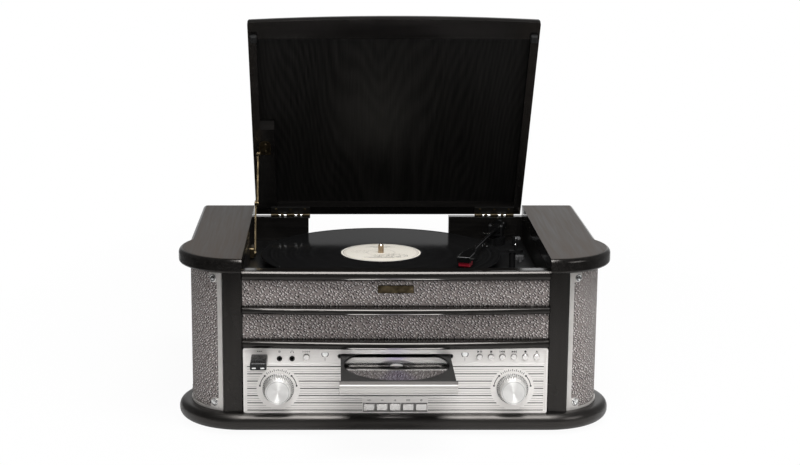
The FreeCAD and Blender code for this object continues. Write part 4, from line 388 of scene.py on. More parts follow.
def spun_knob(name, x):
    """Face turned in fine circles, with painted shade in a cut ring near its edge, and a grip with painted
    shade in its cross cuts.
    """
    s = Shader(name, metal=0.6, aniso=0.8)
    place = s.around(mm(x, 0, KNOB_Z))
    px, py, pz = s.split(place)
    radius = s.flat_radius(place, 1)
    circles = s.rings(radius, 5200, 3)
    turn = s.times(s.calc("ARCTAN2", px, pz), KNURLS)
    depth = s.times(py, 1500)
    knurl = s.times(s.sine(s.plus(turn, depth)), s.sine(s.minus(turn, depth)))
    flank = s.times(s.rise(radius, *KNOB_FLANK), s.rise(py, *KNOB_FACE))
    grip = s.times(flank, s.within(py, *KNOB_GRIP, 0.8))
    # Painted shade in the pits of the knurl
    pit_shade = s.times(s.range(knurl, 0.1, -0.4), grip)
    face = s.mix(s.range(circles, 0.3, 0.7), (0.7, 0.69, 0.675), (0.84, 0.83, 0.81))
    # Painted shade in a cut ring near the face's edge
    face = s.mix(s.within(radius, *KNOB_RING_SHADE, 0.15), face, (0.3, 0.294, 0.285))
    face = s.mix(flank, face, (0.66, 0.65, 0.635))
    height = s.plus(s.times(circles, 0.08), s.times(knurl, grip))
    s.set(colour=s.mix(pit_shade, face, (0.12, 0.117, 0.112)), rough=s.range(circles, 0.3, 0.7, 0.46, 0.56),
          normal=s.bump(height, 0.5, 0.3), tangent=s.stretch(place, (1, 0, 1)))
    return s.material


# Plastic, rubber and other metal
STAIN = 140                     # fineness of the stains on metal
HINGE_PIN = (1.4, 1.8)
HINGE_KNUCKLE = (2.7, 3.1)


def moulded(name, low, high, rough, grain=900, spec=0.5):
    """Moulded plastic or rubber with a fine texture."""
    s = Shader(name, spec=spec)
    fine = s.noise(s.coords(), grain, 3)
    cloud = s.noise(s.coords(), 45, 3)
    tone = s.weigh(fine, 0.5, cloud, 0.5)
    s.set(colour=s.mix(s.range(tone, 0.35, 0.65), low, high),
          rough=s.range(fine, 0.3, 0.7, rough - 0.06, rough + 0.08), normal=s.bump(fine, 0.12, 0.08))
    return s.material


def metal(name, low, high, rough):
    """Bare metal with stains."""
    s = Shader(name, metal=1.0)
    stain = s.noise(s.stretch(s.coords(), [STAIN] * 3), 1, 5)
    s.set(colour=s.mix(s.range(stain, 0.35, 0.7), high, low),
          rough=s.range(stain, 0.3, 0.7, rough - 0.06, rough + 0.12), normal=s.bump(stain, 0.05, 0.06))
    return s.material


def hinge_metal():
    """Bright pin, bronzed knuckles, and leaves that were lacquered over with the wood."""
    s = Shader("hinge_bronze")
    stain = s.noise(s.stretch(s.coords(), (900, STAIN, STAIN)), 1, 5)
    reach = s.flat_radius(s.around(mm(*HINGE)), 0)
    knuckle = s.rise(reach, *HINGE_PIN)
    leaf = s.rise(reach, *HINGE_KNUCKLE)
    worn = s.mix(s.range(stain, 0.35, 0.7), (0.06, 0.048, 0.03), (0.024, 0.019, 0.012))
    bright = s.mix(knuckle, (0.86, 0.86, 0.85), worn)
    s.set(colour=s.mix(leaf, bright, (0.006, 0.0056, 0.005)), metal=s.range(leaf, 0, 1, 1, 0),
          rough=s.range(knuckle, 0, 1, 0.14, 0.42), normal=s.bump(stain, 0.05, 0.06))
    return s.material


# Record and compact disc
TRACK_WIDTH = 0.0172            # in metres
DISC_HUB = (21.2, 21.6)
DISC_RING = ((16.5, 16.8), (17.6, 17.9))
DISC_RIM = (58.4, 58.7)
# Inner and outer radius of the label's rings
LABEL_RINGS = ((46.8, 47.4), (45.2, 45.4), (17.8, 18.0), (16.6, 16.8))
# Height and half length of the label's bars
LABEL_BARS = ((34.5, 13.0), (31.0, 19.0), (27.5, 9.0), (-26.5, 22.0), (-29.5, 16.0))
# Middle and reach of the label's scribbles in metres, with their fineness and strength
LABEL_SCRIBBLES = (((0.012, -0.019), (0.026, 0.012), 210, 1.0), ((-0.026, 0.004), (0.013, 0.011), 330, 0.5))


def vinyl():
    """Pressed grooves in rings, with smooth bands between the tracks that are painted lighter as a sheen."""
    s = Shader("vinyl", spec=0.011, aniso=0.75)
    place = s.around(mm(*SPINDLE))
    radius = s.flat_radius(place, 2)
    grooves = s.rings(radius, 2600, 4)
    loud = s.rings(radius, 210, 3)
    track = s.calc("FRACT", s.over(radius, TRACK_WIDTH))
    # Painted sheen: the smooth bands are lighter in colour
    smooth = s.range(s.size(s.minus(track, 0.5)), 0.47, 0.49)
    colour = s.mix(s.range(loud, 0.3, 0.7), (0.0045, 0.0045, 0.0046), (0.009, 0.009, 0.0092))
    s.set(colour=s.mix(smooth, colour, (0.013, 0.013, 0.0135)), rough=s.range(loud, 0.3, 0.7, 0.1, 0.15),
          normal=s.bump(grooves, 0.03, 0.05, s.lean((0, -0.02, 0))), tangent=s.stretch(place, (1, 1, 0)))
    return s.material


def disc_mirror():
    """Clear hub, stacking ring and mirror, with a painted rainbow sheen like the one its fine tracks give,
    fixed in place on the disc.
    """
    s = Shader("disc_mirror", metal=1.0)
    place = s.around(mm(*DISC))
    radius = s.flat_radius(place, 2)
    sheen_bearing = s.over(s.size(s.split(place)[1]), radius)
    rings = s.rings(radius, 900, 3)
    mirror = s.mix(s.range(rings, 0.3, 0.7), (0.88, 0.87, 0.89), (0.97, 0.96, 0.97))
    # Painted rainbow sheen: purple and green tints at set bearings on the disc
    mirror = s.mix(s.range(sheen_bearing, 0.9, 1.0, 0, 0.7), mirror, (0.74, 0.7, 1.0))
    mirror = s.mix(s.range(sheen_bearing, 0.75, 0.88, 0.2, 0), mirror, (0.8, 0.86, 0.8))
    ring = s.times(s.rise(radius, *DISC_RING[0]), s.fall(radius, *DISC_RING[1]))
    colour = s.mix(s.fall(radius, *DISC_HUB), mirror, (0.34, 0.34, 0.35))
    colour = s.mix(ring, colour, (0.12, 0.12, 0.125))
    colour = s.mix(s.rise(radius, *DISC_RIM), colour, (0.3, 0.3, 0.31))
    s.set(colour=colour, rough=s.range(rings, 0.3, 0.7, 0.06, 0.1),
          normal=s.bump(s.plus(rings, ring), 0.03, 0.05, s.lean((0, -0.036, 0))))
    return s.material


def label_print(s, place):
    """Plain rings, bars and scribbles, and no words."""
    x, y = s.split(place)[:2]
    radius = s.flat_radius(place, 2)
    printed = s.within(radius, *LABEL_RINGS[0])
    for low, high in LABEL_RINGS[1:]:
        printed = s.most(printed, s.within(radius, low, high))
    across = s.size(x)
    for height, half in LABEL_BARS:
        bar = s.times(s.within(y, height - 0.6, height + 0.6), s.rise(across, half, half - 0.2))
        printed = s.most(printed, bar)
    for middle, reach, fineness, strength in LABEL_SCRIBBLES:
        spot = s.vector("DIVIDE", s.vector("SUBTRACT", place, (*middle, 0)), (*reach, 1))
        inside = s.range(s.flat_radius(spot, 2), 0.85, 1.0, 1, 0)
        line = s.size(s.minus(s.noise(place, fineness, 2, 0.6), 0.5))
        printed = s.most(printed, s.times(s.range(line, 0.018, 0.034, strength, 0), inside))
    return printed


def label_paper():
    """Cream paper, a little stained, with a plain print."""
    s = Shader("label_paper", rough=0.6, spec=0.35)
    fibre = s.noise(s.coords(), 700, 4)
    cloud = s.noise(s.coords(), 55, 3)
    colour = s.mix(s.range(fibre, 0.3, 0.7), (0.69, 0.652, 0.578), (0.78, 0.743, 0.665))
    colour = s.mix(s.range(cloud, 0.4, 0.75, 0, 0.3), colour, (0.68, 0.635, 0.55))
    printed = label_print(s, s.around(mm(*SPINDLE)))
    colour = s.mix(s.times(printed, 0.8), colour, (0.09, 0.07, 0.055))
    s.set(colour=colour, normal=s.bump(fibre, 0.08, 0.05))
    return s.material


# Small things
def printed_ink():
    s = Shader("printed_ink", rough=0.5, spec=0.4)
    worn = s.noise(s.coords(), 900, 3)
    s.set(colour=s.mix(s.range(worn, 0.4, 0.75), (0.02, 0.02, 0.021), (0.06, 0.06, 0.061)))
    return s.material


def glowing_window_plastic():
    # Painted glow: the window shines faintly by itself, with no lamp behind it
    s = Shader("glowing_window_plastic", rough=0.22, spec=0.5, coat=0.4, glow=0.22, glow_colour=(1, 1, 1))
    cloud = s.noise(s.coords(), 300, 2)
    s.set(colour=s.mix(s.range(cloud, 0.3, 0.7), (0.74, 0.74, 0.73), (0.84, 0.84, 0.83)),
          normal=s.bump(cloud, 0.05, 0.05))
    return s.material


def circuit_board():
    s = Shader("circuit_board", rough=0.4)
    tracks = s.cells(s.stretch(s.coords(), (1, 1, 3)), 160)
    s.set(colour=s.mix(s.range(tracks, 0.3, 0.45), (0.05, 0.2, 0.09), (0.02, 0.1, 0.045)),
          normal=s.bump(tracks, 0.1, 0.1))
    return s.material


lacquer_x = lacquer("lacquer_x", 0, 0.18, 0.38)
lacquer_y = lacquer("lacquer_y", 1, 0.34, 0.2)
lacquer_z = lacquer("lacquer_z", 2, 0.26, 0.36)
lacquer_top = lacquer("lacquer_top", 1, 0.2, 0.27, 0.45)
lacquer_base = lacquer("lacquer_base", 0, 0.34, 0.48)
cloth = grille_cloth()
frame_silver = satin_silver("frame_silver", (0.52, 0.5, 0.478), (0.65, 0.626, 0.603), 0.34, 0.5)
button_silver = satin_silver("button_silver", (0.67, 0.65, 0.63), (0.81, 0.79, 0.768), 0.22, 0.6)
chrome = metal("chrome", (0.42, 0.42, 0.42), (0.72, 0.72, 0.71), 0.14)
brass = metal("brass", (0.03, 0.024, 0.014), (0.13, 0.1, 0.058), 0.36)
hinge_brass = hinge_metal()
spindle_brass = metal("spindle_brass", (0.3, 0.22, 0.14), (0.55, 0.43, 0.3), 0.3)
steel = metal("steel", (0.42, 0.42, 0.42), (0.62, 0.62, 0.62), 0.28)
alloy = metal("alloy", (0.4, 0.4, 0.405), (0.56, 0.56, 0.565), 0.4)
rubber = moulded("rubber", (0.007, 0.007, 0.007), (0.016, 0.016, 0.016), 0.6, 600, 0.2)
black_plastic = moulded("black_plastic", (0.004, 0.004, 0.0042), (0.009, 0.009, 0.0094), 0.34, 900, 0.25)
stick_plastic = moulded("stick_plastic", (0.005, 0.005, 0.0052), (0.011, 0.011, 0.0113), 0.26, 700, 0.3)
arm_black = moulded("arm_black", (0.003, 0.003, 0.0031), (0.006, 0.006, 0.0062), 0.16, 900, 0.3)
dark_grey = moulded("dark_grey", (0.05, 0.05, 0.051), (0.09, 0.09, 0.092), 0.5)
tray_plastic = moulded("tray_plastic", (0.018, 0.0175, 0.017), (0.032, 0.031, 0.03), 0.42, 1200, 0.22)
red_plastic = moulded("red_plastic", (0.26, 0.01, 0.022), (0.4, 0.018, 0.036), 0.18, 500)
white_plastic = moulded("white_plastic", (0.66, 0.66, 0.65), (0.78, 0.78, 0.77), 0.35)
ink = printed_ink()
paper = label_paper()
window = glowing_window_plastic()

# Nodes that are not named here are button silver: the buttons, the keys and two that cloth replaces
FINISHES = {
    "base_plinth": lacquer_base, "top_boards": lacquer_top, "front_stiles": lacquer_z,
    "well_walls": lacquer_y, "side_walls": lacquer_z, "back_panel": lacquer_x, "front_rails": lacquer_x,
    "lid_board": lid_lacquer(), "lid_rails": lacquer_x,
    "control_panel": panel_paint(), "cd_tray_front": drawer_paint(),
    "grille_frames": frame_silver, "grille_screws": chrome,
    "volume_knob": spun_knob("volume_silver", -KNOB_X), "tuning_knob": spun_knob("tuning_silver", KNOB_X),
    "rubber_feet": rubber, "drive_belt": rubber, "slip_mat": rubber,
    "hinge_cabinet_leaves": hinge_brass, "hinge_lid_leaves": hinge_brass,
    "stay_cabinet_bracket": brass, "stay_lid_bracket": brass,
    "stay_lower_arm": brass, "stay_upper_arm": brass, "motor_pulley": brass, "spindle": spindle_brass,
    "drive_motor": steel, "power_supply": steel, "platter": alloy,
    "sockets": black_plastic, "deck_plate": black_plastic, "arm_base": black_plastic,
    "arm_yoke": black_plastic, "cd_chassis": black_plastic, "cd_tray": tray_plastic,
    "tonearm_tube": arm_black, "headshell": arm_black, "lift_bar": arm_black, "cue_lever": dark_grey,
    "speed_lever": dark_grey, "speaker_drivers": dark_grey, "usb_stick": stick_plastic,
    "cartridge": red_plastic, "record": vinyl(), "compact_disc": disc_mirror(),
    "control_board": circuit_board(),
}

for node_name, node_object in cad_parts.items():
    for material_slot in node_object.material_slots:
        material_slot.material = FINISHES.get(node_name, button_silver)


# Pieces

SCREW_SPREAD = (-1, -0.8, -0.5, -0.16, -0.15, 0.15, 0.16, 0.5, 0.8, 1)
# Of a screw's head, as shares of its radius
SCREW_DOME = 0.45
SCREW_EDGE = 0.12
SCREW_SLOT_HALF = 0.155
SCREW_SLOT_DEPTH = 0.22


class Form:
    """Points and faces that grow into one mesh piece."""

    def __init__(self):
        self.points = []
        self.faces = []

    def add(self, points, faces):
        start = len(self.points)
        self.points += points
        self.faces += [[start + corner for corner in face] for face in faces]

    def grid(self, rows):
        """A quad for each cell of a table of points."""
        width = len(rows[0])
        faces = []
        for row in range(len(rows) - 1):
            for column in range(width - 1):
                corner = row * width + column
                faces.append([corner, corner + 1, corner + width + 1, corner + width])
        self.add([point for row in rows for point in row], faces)

    def lathe(self, profile, base, axis, steps):
        """A profile of (radius, height) points in mm turned about an axis through base."""
        turn = UP.rotation_difference(axis)
        rows = []
        for radius, height in profile:
            reach = radius / 1000
            row = []
            for step in range(steps + 1):
                angle = 2 * math.pi * step / steps
                spot = Vector((reach * math.cos(angle), reach * math.sin(angle), height / 1000))
                row.append(base + turn @ spot)
            rows.append(row)
        self.grid(rows)

    def screw(self, base, axis, radius, turn_deg):
        """A low domed head with a driver slot across it. Its radius is in mm."""
        turn = UP.rotation_difference(axis).to_matrix() @ Matrix.Rotation(math.radians(turn_deg), 3, "Z")
        rows = []
        for v in SCREW_SPREAD:
            row = []
            for u in SCREW_SPREAD:
                x = u * math.sqrt(1 - v * v / 2)
                y = v * math.sqrt(1 - u * u / 2)
                rise = SCREW_DOME * (1 - (x * x + y * y)) + SCREW_EDGE
                if max(abs(u), abs(v)) == 1:
                    rise = 0
                elif abs(v) < SCREW_SLOT_HALF:
                    rise -= SCREW_SLOT_DEPTH
                row.append(base + turn @ Vector((x, y, rise)) * (radius / 1000))
            rows.append(row)
        self.grid(rows)

    def box(self, place, low, high, bevel):
        """A block with bevelled edges between two corners, set by place()."""
        x0, y0, z0 = low
        x1, y1, z1 = high
        points = []
        for z, inset in ((z0, bevel), (z0 + bevel, 0), (z1 - bevel, 0), (z1, bevel)):
            a, b, c, d = x0 + inset, x1 - inset, y0 + inset, y1 - inset
            points += [place(*p) for p in (
                (a + bevel, c, z), (b - bevel, c, z), (b, c + bevel, z), (b, d - bevel, z),
                (b - bevel, d, z), (a + bevel, d, z), (a, d - bevel, z), (a, c + bevel, z))]
        faces = [list(range(7, -1, -1)), list(range(24, 32))]
        for level in (0, 8, 16):
            for side in range(8):
                after = (side + 1) % 8
                faces.append([level + side, level + after, level + 8 + after, level + 8 + side])
        self.add(points, faces)

    def piece(self, name, body, material, slot, smooth=True):
        mesh = bpy.data.meshes.new(name)
        mesh.from_pydata(self.points, [], self.faces)
        mesh.materials.append(material)
        mesh.validate()
        mesh.update()
        obj = bpy.data.objects.new(name, mesh)
        bpy.context.scene.collection.objects.link(obj)
        for face in mesh.polygons:
            face.use_smooth = smooth
        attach(obj, body)
        return obj


# Sheets of cloth
CLOTH_EDGE = 2.0                # width of the edge that turns in
FRAME_WIDTH = 6.2               # of a speaker's frame beside its cloth
FRAME_EDGE_X = 201.7            # inner edge of the frame
FRAME_SWEEP = math.radians(112)
POD_START = math.asin((FRAME_EDGE_X - POD_X) / POD_RADIUS) + FRAME_WIDTH / POD_RADIUS
POD_END = FRAME_SWEEP - FRAME_WIDTH / POD_RADIUS
POD_WIDTH = (POD_END - POD_START) * POD_RADIUS
POD_LOW = 27.8
POD_HEIGHT = 163.9
STRIP_WIDTH = 356.0
STRIP_HEIGHT = 31.5
STRIP_CROWN = 0.5
STRIP_LOW = {"lower": 113.5, "upper": 153.0}
BOARD_Y = (12, 20)


def spaced(length, step):
    """Places along a length, close together at its ends."""
    near = [0, CLOTH_EDGE * 0.3, CLOTH_EDGE * 0.65, CLOTH_EDGE]
    inner = length - 2 * CLOTH_EDGE
    count = max(2, round(inner / step))
    middle = [CLOTH_EDGE + inner * i / count for i in range(1, count)]
    return near + middle + [length - value for value in reversed(near)]


def sheet_of(name, place, width, height, step, cut):
    """A stretched sheet of grille cloth whose edges turn in, with its own lengths as UV in metres.

    cut is where on the bolt of cloth the sheet was cut, in metres."""
    us = spaced(width, step)
    vs = spaced(height, step)
    form = Form()
    form.grid([[place(u, v) for u in us] for v in vs])
    obj = form.piece(name, "cabinet", cloth, "grille_cloth")
    layer = obj.data.uv_layers.new(name="lengths")
    flat = [(cut + u / 1000, cut / 3 + v / 1000) for v in vs for u in us]
    for loop in obj.data.loops:
        layer.data[loop.index].uv = flat[loop.vertex_index]
    return obj


def sink(inside):
    """How far a sheet has turned in at a place that is inside its edge by so much."""
    return max(0.0, CLOTH_EDGE - inside) ** 2 / (2 * CLOTH_EDGE)


def pod_place(side):
    def place(u, v):
        inside = min(u, POD_WIDTH - u, v, POD_HEIGHT - v)
        turn = POD_START + u / POD_RADIUS
        radius = POD_RADIUS - sink(inside)
        return mm(side * (POD_X + radius * math.sin(turn)), POD_Y - radius * math.cos(turn), POD_LOW + v)
    return place


def pod_cloths():
    for side, name in ((-1, "left"), (1, "right")):
        pod = sheet_of("pod_cloth_" + name, pod_place(side), POD_WIDTH, POD_HEIGHT, 4, 1 + side / 2)
    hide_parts("grille_cloths")


def strip_place(low):
    def place(u, v):
        inside = min(v, STRIP_HEIGHT - v)
        crown = STRIP_CROWN * (1 - (2 * v / STRIP_HEIGHT - 1) ** 2)
        return mm(u - STRIP_WIDTH / 2, CLOTH_Y + STRIP_CROWN + sink(inside) - crown, low + v)
    return place


def cloth_strips():
    """Cloth strips across the front, on their boards."""
    boards = Form()
    half = STRIP_WIDTH / 2
    for name, low in STRIP_LOW.items():
        strip = sheet_of("strip_cloth_" + name, strip_place(low), STRIP_WIDTH, STRIP_HEIGHT, 3.5, low / 50)
        boards.box(mm, (-half, BOARD_Y[0], low), (half, BOARD_Y[1], low + STRIP_HEIGHT), 0.4)
    boards.piece("strip_boards", "cabinet", lacquer_x, "black_lacquer", False)
    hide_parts("cloth_panels")


# Record label
LABEL_PROFILE = ((3.75, 0.02), (4.2, 0.12), (16.0, 0.12), (16.6, 0.04), (17.4, 0.04), (18.0, 0.12),
                 (49.6, 0.12), (50.0, 0.02))


def record_label():
    label = Form()
    label.lathe(LABEL_PROFILE, mm(*SPINDLE), UP, 96)
    label.piece("record_label", "turntable", paper, "vinyl")


# Printed marks
INK_PROUD = 0.06
DIAL_RADIUS = 21.7
KEY_STEP = 15.3
KEY_SIGN_Z = 40.4
SIGN_Z = 99.4
BUTTON_STEP = 13.3
PLAY_X = 98.2
STOP_X = PLAY_X + BUTTON_STEP
SKIP_BACK_X = PLAY_X + 2 * BUTTON_STEP
SKIP_FORWARD_X = PLAY_X + 3 * BUTTON_STEP
RECORD_X = PLAY_X + 4 * BUTTON_STEP
DRAWER_X = PLAY_X + 5 * BUTTON_STEP
FUNCTION_X = -104.0
PHONES_X = -120.6
LINE_X = -135.3
WINDOWS_X = (-82.2, 81.0)


class Print(Form):
    """Flat marks on a plane that faces the front."""

    def __init__(self, face_y):
        super().__init__()
        self.y = face_y - INK_PROUD

    def shape(self, outline):
        self.add([mm(x, self.y, z) for x, z in outline], [list(range(len(outline)))])

    def bar(self, x, z, width, height):
        self.shape([(x - width / 2, z - height / 2), (x + width / 2, z - height / 2),
                    (x + width / 2, z + height / 2), (x - width / 2, z + height / 2)])

    def dot(self, x, z, radius):
        self.shape([(x + radius * math.cos(a), z + radius * math.sin(a))
                    for a in (math.pi * step / 10 for step in range(20))])

    def arc(self, x, z, radius, width, start_deg, end_deg):
        """A band round a point, with angles clockwise from straight up."""
        rows = []
        for edge in (radius - width / 2, radius + width / 2):
            row = []
            for step in range(25):
                turn = math.radians(start_deg + (end_deg - start_deg) * step / 24)
                row.append(mm(x + edge * math.sin(turn), self.y, z + edge * math.cos(turn)))
            rows.append(row)
        self.grid(rows)

    def tick(self, x, z, inner, outer, width, turn_deg):
        turn = math.radians(turn_deg)
        out = Vector((math.sin(turn), math.cos(turn)))
        side = Vector((out.y, -out.x)) * width / 2
        centre = Vector((x, z))
        self.shape([tuple(centre + out * inner - side), tuple(centre + out * inner + side),
                    tuple(centre + out * outer + side), tuple(centre + out * outer - side)])

    def arrow(self, x, z, size, way):
        half = size / 2
        self.shape([(x - way * half, z - half), (x + way * half, z), (x - way * half, z + half)])


def knob_marks(marks, x):
    """A scale of ticks over a knob, and an arc that ends in dots on each side."""
    for side in (-1, 1):
        marks.arc(x, KNOB_Z, DIAL_RADIUS, 0.9, side * 48, side * 80)
        for turn_deg, size in ((46, 1.2), (82, 1.1)):
            turn = math.radians(side * turn_deg)
            marks.dot(x + DIAL_RADIUS * math.sin(turn), KNOB_Z + DIAL_RADIUS * math.cos(turn), size)
    for turn_deg in range(-36, 37, 6):
        outer = 22.6 if turn_deg % 12 else 23.6
        marks.tick(x, KNOB_Z, 20.9, outer, 0.75, turn_deg)


def key_marks(marks):
    """Signs over the five keys, from left to right: a wave, minus, plus, a list and a barred ring."""
    z = KEY_SIGN_Z
    for step in range(-2, 3):
        marks.bar(-2 * KEY_STEP + step * 1.1, z, 0.5, 2.2 - abs(step) * 0.7)
    marks.bar(-KEY_STEP, z, 3.0, 0.5)
    marks.bar(0, z, 3.0, 0.5)
    marks.bar(0, z, 0.5, 2.4)
    for step in (-0.8, 0, 0.8):
        marks.bar(KEY_STEP, z + step, 4.4, 0.35)
    marks.arc(2 * KEY_STEP, z, 1.0, 0.4, 0, 360)
    marks.tick(2 * KEY_STEP, z, -1.5, 1.5, 0.35, 45)


def panel_marks():
    marks = Print(PANEL_Y)
    for x in (-KNOB_X, KNOB_X):
        knob_marks(marks, x)
    key_marks(marks)
    marks.piece("panel_marks", "cabinet", ink, "silver_panel", False)


def button_signs(signs):
    """Play and pause, stop, two skips, record, drawer, and a row of bars for the function button."""
    signs.arrow(PLAY_X - 1.4, SIGN_Z, 2.8, 1)
    signs.bar(PLAY_X + 1.0, SIGN_Z, 0.65, 2.6)
    signs.bar(PLAY_X + 2.3, SIGN_Z, 0.65, 2.6)
    signs.bar(STOP_X, SIGN_Z, 2.5, 2.5)
    for x, way in ((SKIP_BACK_X, -1), (SKIP_FORWARD_X, 1)):
        signs.arrow(x - 1.3, SIGN_Z, 2.5, way)
        signs.arrow(x + 1.3, SIGN_Z, 2.5, way)
        signs.bar(x + way * 3.0, SIGN_Z, 0.65, 2.5)
    signs.dot(RECORD_X, SIGN_Z, 1.35)
    signs.shape([(DRAWER_X - 1.4, SIGN_Z - 0.2), (DRAWER_X + 1.4, SIGN_Z - 0.2), (DRAWER_X, SIGN_Z + 1.3)])
    signs.bar(DRAWER_X, SIGN_Z - 0.9, 2.8, 0.5)
    for step in range(-3, 4):
        signs.bar(FUNCTION_X + step * 1.3, SIGN_Z, 0.5, 1.0 + step % 2)


def socket_signs(signs):
    """Headphones, a plug's end, and a line with dots for the memory stick."""
    signs.arc(PHONES_X, SIGN_Z - 0.6, 1.5, 0.4, -90, 90)
    for side in (-1.5, 1.5):
        signs.bar(PHONES_X + side, SIGN_Z - 1.0, 0.8, 1.2)
    signs.arc(LINE_X, SIGN_Z, 1.1, 0.4, 0, 360)
    signs.dot(LINE_X, SIGN_Z, 0.4)
    signs.bar(STICK_X, SIGN_Z + 0.3, 5.0, 0.4)
    for step in (-2.5, 0, 2.5):
        signs.dot(STICK_X + step, SIGN_Z + 0.3, 0.55)


def strip_marks():
    signs = Print(STRIP_Y)
    button_signs(signs)
    socket_signs(signs)
    for x in WINDOWS_X:
        signs.bar(x, 90.2, 0.35, 4.4)
        for start_deg in (60, 210):
            signs.arc(x, 96.4, 3.75, 0.8, start_deg, start_deg + 90)
    signs.piece("strip_marks", "cabinet", ink, "silver_panel", False)


# Indicator windows
WINDOW_Z = 97.0
WINDOW_HALF = 3.2
WINDOW_RISE = 1.5
WINDOW_DROP = 3.0
# Size and height of the rings of a window's dome
WINDOW_DOME = ((1.0, 0.0), (1.0, 0.35), (0.9, 0.7), (0.6, 0.95), (0.05, 1.05))


def bent(value, power):
    return math.copysign(abs(value) ** power, value)


def window_ring(x, size, proud):
    """An outline that is nearly square above and round below."""
    ring = []
    for step in range(33):
        angle = 2 * math.pi * step / 32
        up = bent(math.sin(angle), 0.4 if math.sin(angle) > 0 else 0.75)
        reach = WINDOW_RISE if up > 0 else WINDOW_DROP
        across = bent(math.cos(angle), 0.6)
        ring.append(mm(x + WINDOW_HALF * size * across, STRIP_Y - proud, WINDOW_Z + reach * size * up))
    return ring


def indicator_windows():
    windows = Form()
    for x in WINDOWS_X:
        windows.grid([window_ring(x, size, proud) for size, proud in WINDOW_DOME])
    windows.piece("indicator_windows", "cabinet", window, "silver_panel")


# Pads, plate and stick
PAD_X = 169.0
PAD_HALF = 4.2
PAD_Y = (8, 18)
PAD_HEIGHT = 5.6
PLATE_HALF = 21.0
PLATE_Y = 8.9
PLATE_Z = (168.8, 178.2)
RIVET_X = 18.2
RIVET = ((1.2, 0), (1.1, 0.4), (0.6, 0.7), (0.01, 0.8))
CONTACT_X = 4.9                 # from the stick's middle
CONTACT_HALF = 2.2
CONTACT_Y = (-33.45, -33.0)
CONTACT_Z = (90.2, 91.8)
GRIP_HALF = 7.1
GRIPS_Y = (-20.4, -16.4)
GRIP_WIDTH = 1.5
GRIP_Z = (96.6, 96.86)


def lid_pads():
    """Rubber pads under the lid's front corners."""
    pads = Form()
    for x in (-PAD_X, PAD_X):
        pads.box(on_lid, (x - PAD_HALF, PAD_Y[0], LID_RIM - PAD_HEIGHT),
                 (x + PAD_HALF, PAD_Y[1], LID_RIM + 0.1), 0.9)
    pads.piece("lid_pads", "lid", rubber, "foot_rubber", False)


def front_plate():
    """A plain brass plate on the upper cloth strip."""
    plate = Form()
    plate.box(mm, (-PLATE_HALF, PLATE_Y, PLATE_Z[0]), (PLATE_HALF, CLOTH_Y + 0.4, PLATE_Z[1]), 0.6)
    for x in (-RIVET_X, RIVET_X):
        plate.lathe(RIVET, mm(x, PLATE_Y, sum(PLATE_Z) / 2), FRONT, 16)
    plate.piece("front_plate", "cabinet", brass, "brass", False)


def stick_details():
    """Pale contacts at the memory stick's end, and ribs on it to grip."""
    contacts = Form()
    for x in (STICK_X - CONTACT_X, STICK_X + CONTACT_X):
        contacts.box(mm, (x - CONTACT_HALF, CONTACT_Y[0], CONTACT_Z[0]),
                     (x + CONTACT_HALF, CONTACT_Y[1], CONTACT_Z[1]), 0.1)
    contacts.piece("stick_contacts", "stick", white_plastic, "black_plastic", False)
    grips = Form()
    for y in GRIPS_Y:
        grips.box(mm, (STICK_X - GRIP_HALF, y, GRIP_Z[0]),
                  (STICK_X + GRIP_HALF, y + GRIP_WIDTH, GRIP_Z[1]), 0.08)
    grips.piece("stick_grips", "stick", black_plastic, "black_plastic", False)


# Screws and small fittings
LEAF_SCREWS = ((-19, 20), (0, 75), (19, 130))  # along a hinge, and turned by so many degrees
LEAF_Y = 309.0
LEAF_TOP = 197.9
LID_LEAF_Y = 304.6
LEAF_THICKNESS = 1.4
LID_FOOT_X = -160.0             # foot of the stay under the lid
FOOT_THICKNESS = 1.5
WALL_FOOT_X = -173.5            # foot of the stay on the wall
WALL_FOOT_Z = 178.4
REST_KNOB = (152.8, 152.6, 193.95)
REST_KNOB_PROFILE = ((1.0, 0), (1.3, 0.6), (1.3, 1.3), (0.8, 2.0), (0.01, 2.2))
LINE_OUT_Z = 65
LINE_RING = ((4.3, 0.9), (4.3, 0), (6.0, 0), (6.0, 0.8), (5.6, 1.1), (4.5, 1.1), (4.3, 0.9))
BACK_SCREW = 3.4
BACK_EDGE_X = 212
CUP_INSET = 5.3                 # from the cloth's side edge
CUPS_Z = (34.5, 185.0)
CUP_RADIUS = 0.0632             # from the grille's axis, in metres
CUP = ((4.6, -0.2), (4.6, 0.3), (3.2, 0.3), (2.8, -0.2))


def brass_screws():
    """Screws of the hinges and of the stay's two feet."""
    lid_down = (on_lid(0, 0, -1) - on_lid(0, 0, 0)).normalized()
    fixed = Form()
    lid = Form()
    for centre in HINGES_X:
        for step, turn_deg in LEAF_SCREWS:
            x = centre + step
            fixed.screw(mm(x, LEAF_Y, LEAF_TOP), UP, 1.3, turn_deg)
            lid.screw(on_lid(x, LID_LEAF_Y, LID_RIM - LEAF_THICKNESS), lid_down, 1.6, turn_deg + 25)
    for y in (187.5, 199.5):
        lid.screw(on_lid(LID_FOOT_X, y, LID_RIM - FOOT_THICKNESS), lid_down, 1.9, y)
    for y in (196.0, 210.0):
        fixed.screw(mm(WALL_FOOT_X, y, WALL_FOOT_Z), RIGHT, 1.7, y)
    fixed.piece("hinge_screws", "cabinet", brass, "brass")
    lid.piece("lid_screws", "lid", brass, "brass")


def rest_knob():
    """A bright knob on the stop of the arm rest."""
    knob = Form()
    knob.lathe(REST_KNOB_PROFILE, mm(*REST_KNOB), UP, 20)
    knob.piece("rest_knob", "cabinet", chrome, "screw_steel")


def line_rings():
    """Coloured rings round the line-out sockets."""
    for x, name, colour in ((60.0, "line_ring_white", white_plastic), (74.0, "line_ring_red", red_plastic)):
        ring = Form()
        ring.lathe(LINE_RING, mm(x, BACK_Y, LINE_OUT_Z), BACK, 40)
        ring.piece(name, "cabinet", colour, "black_plastic")


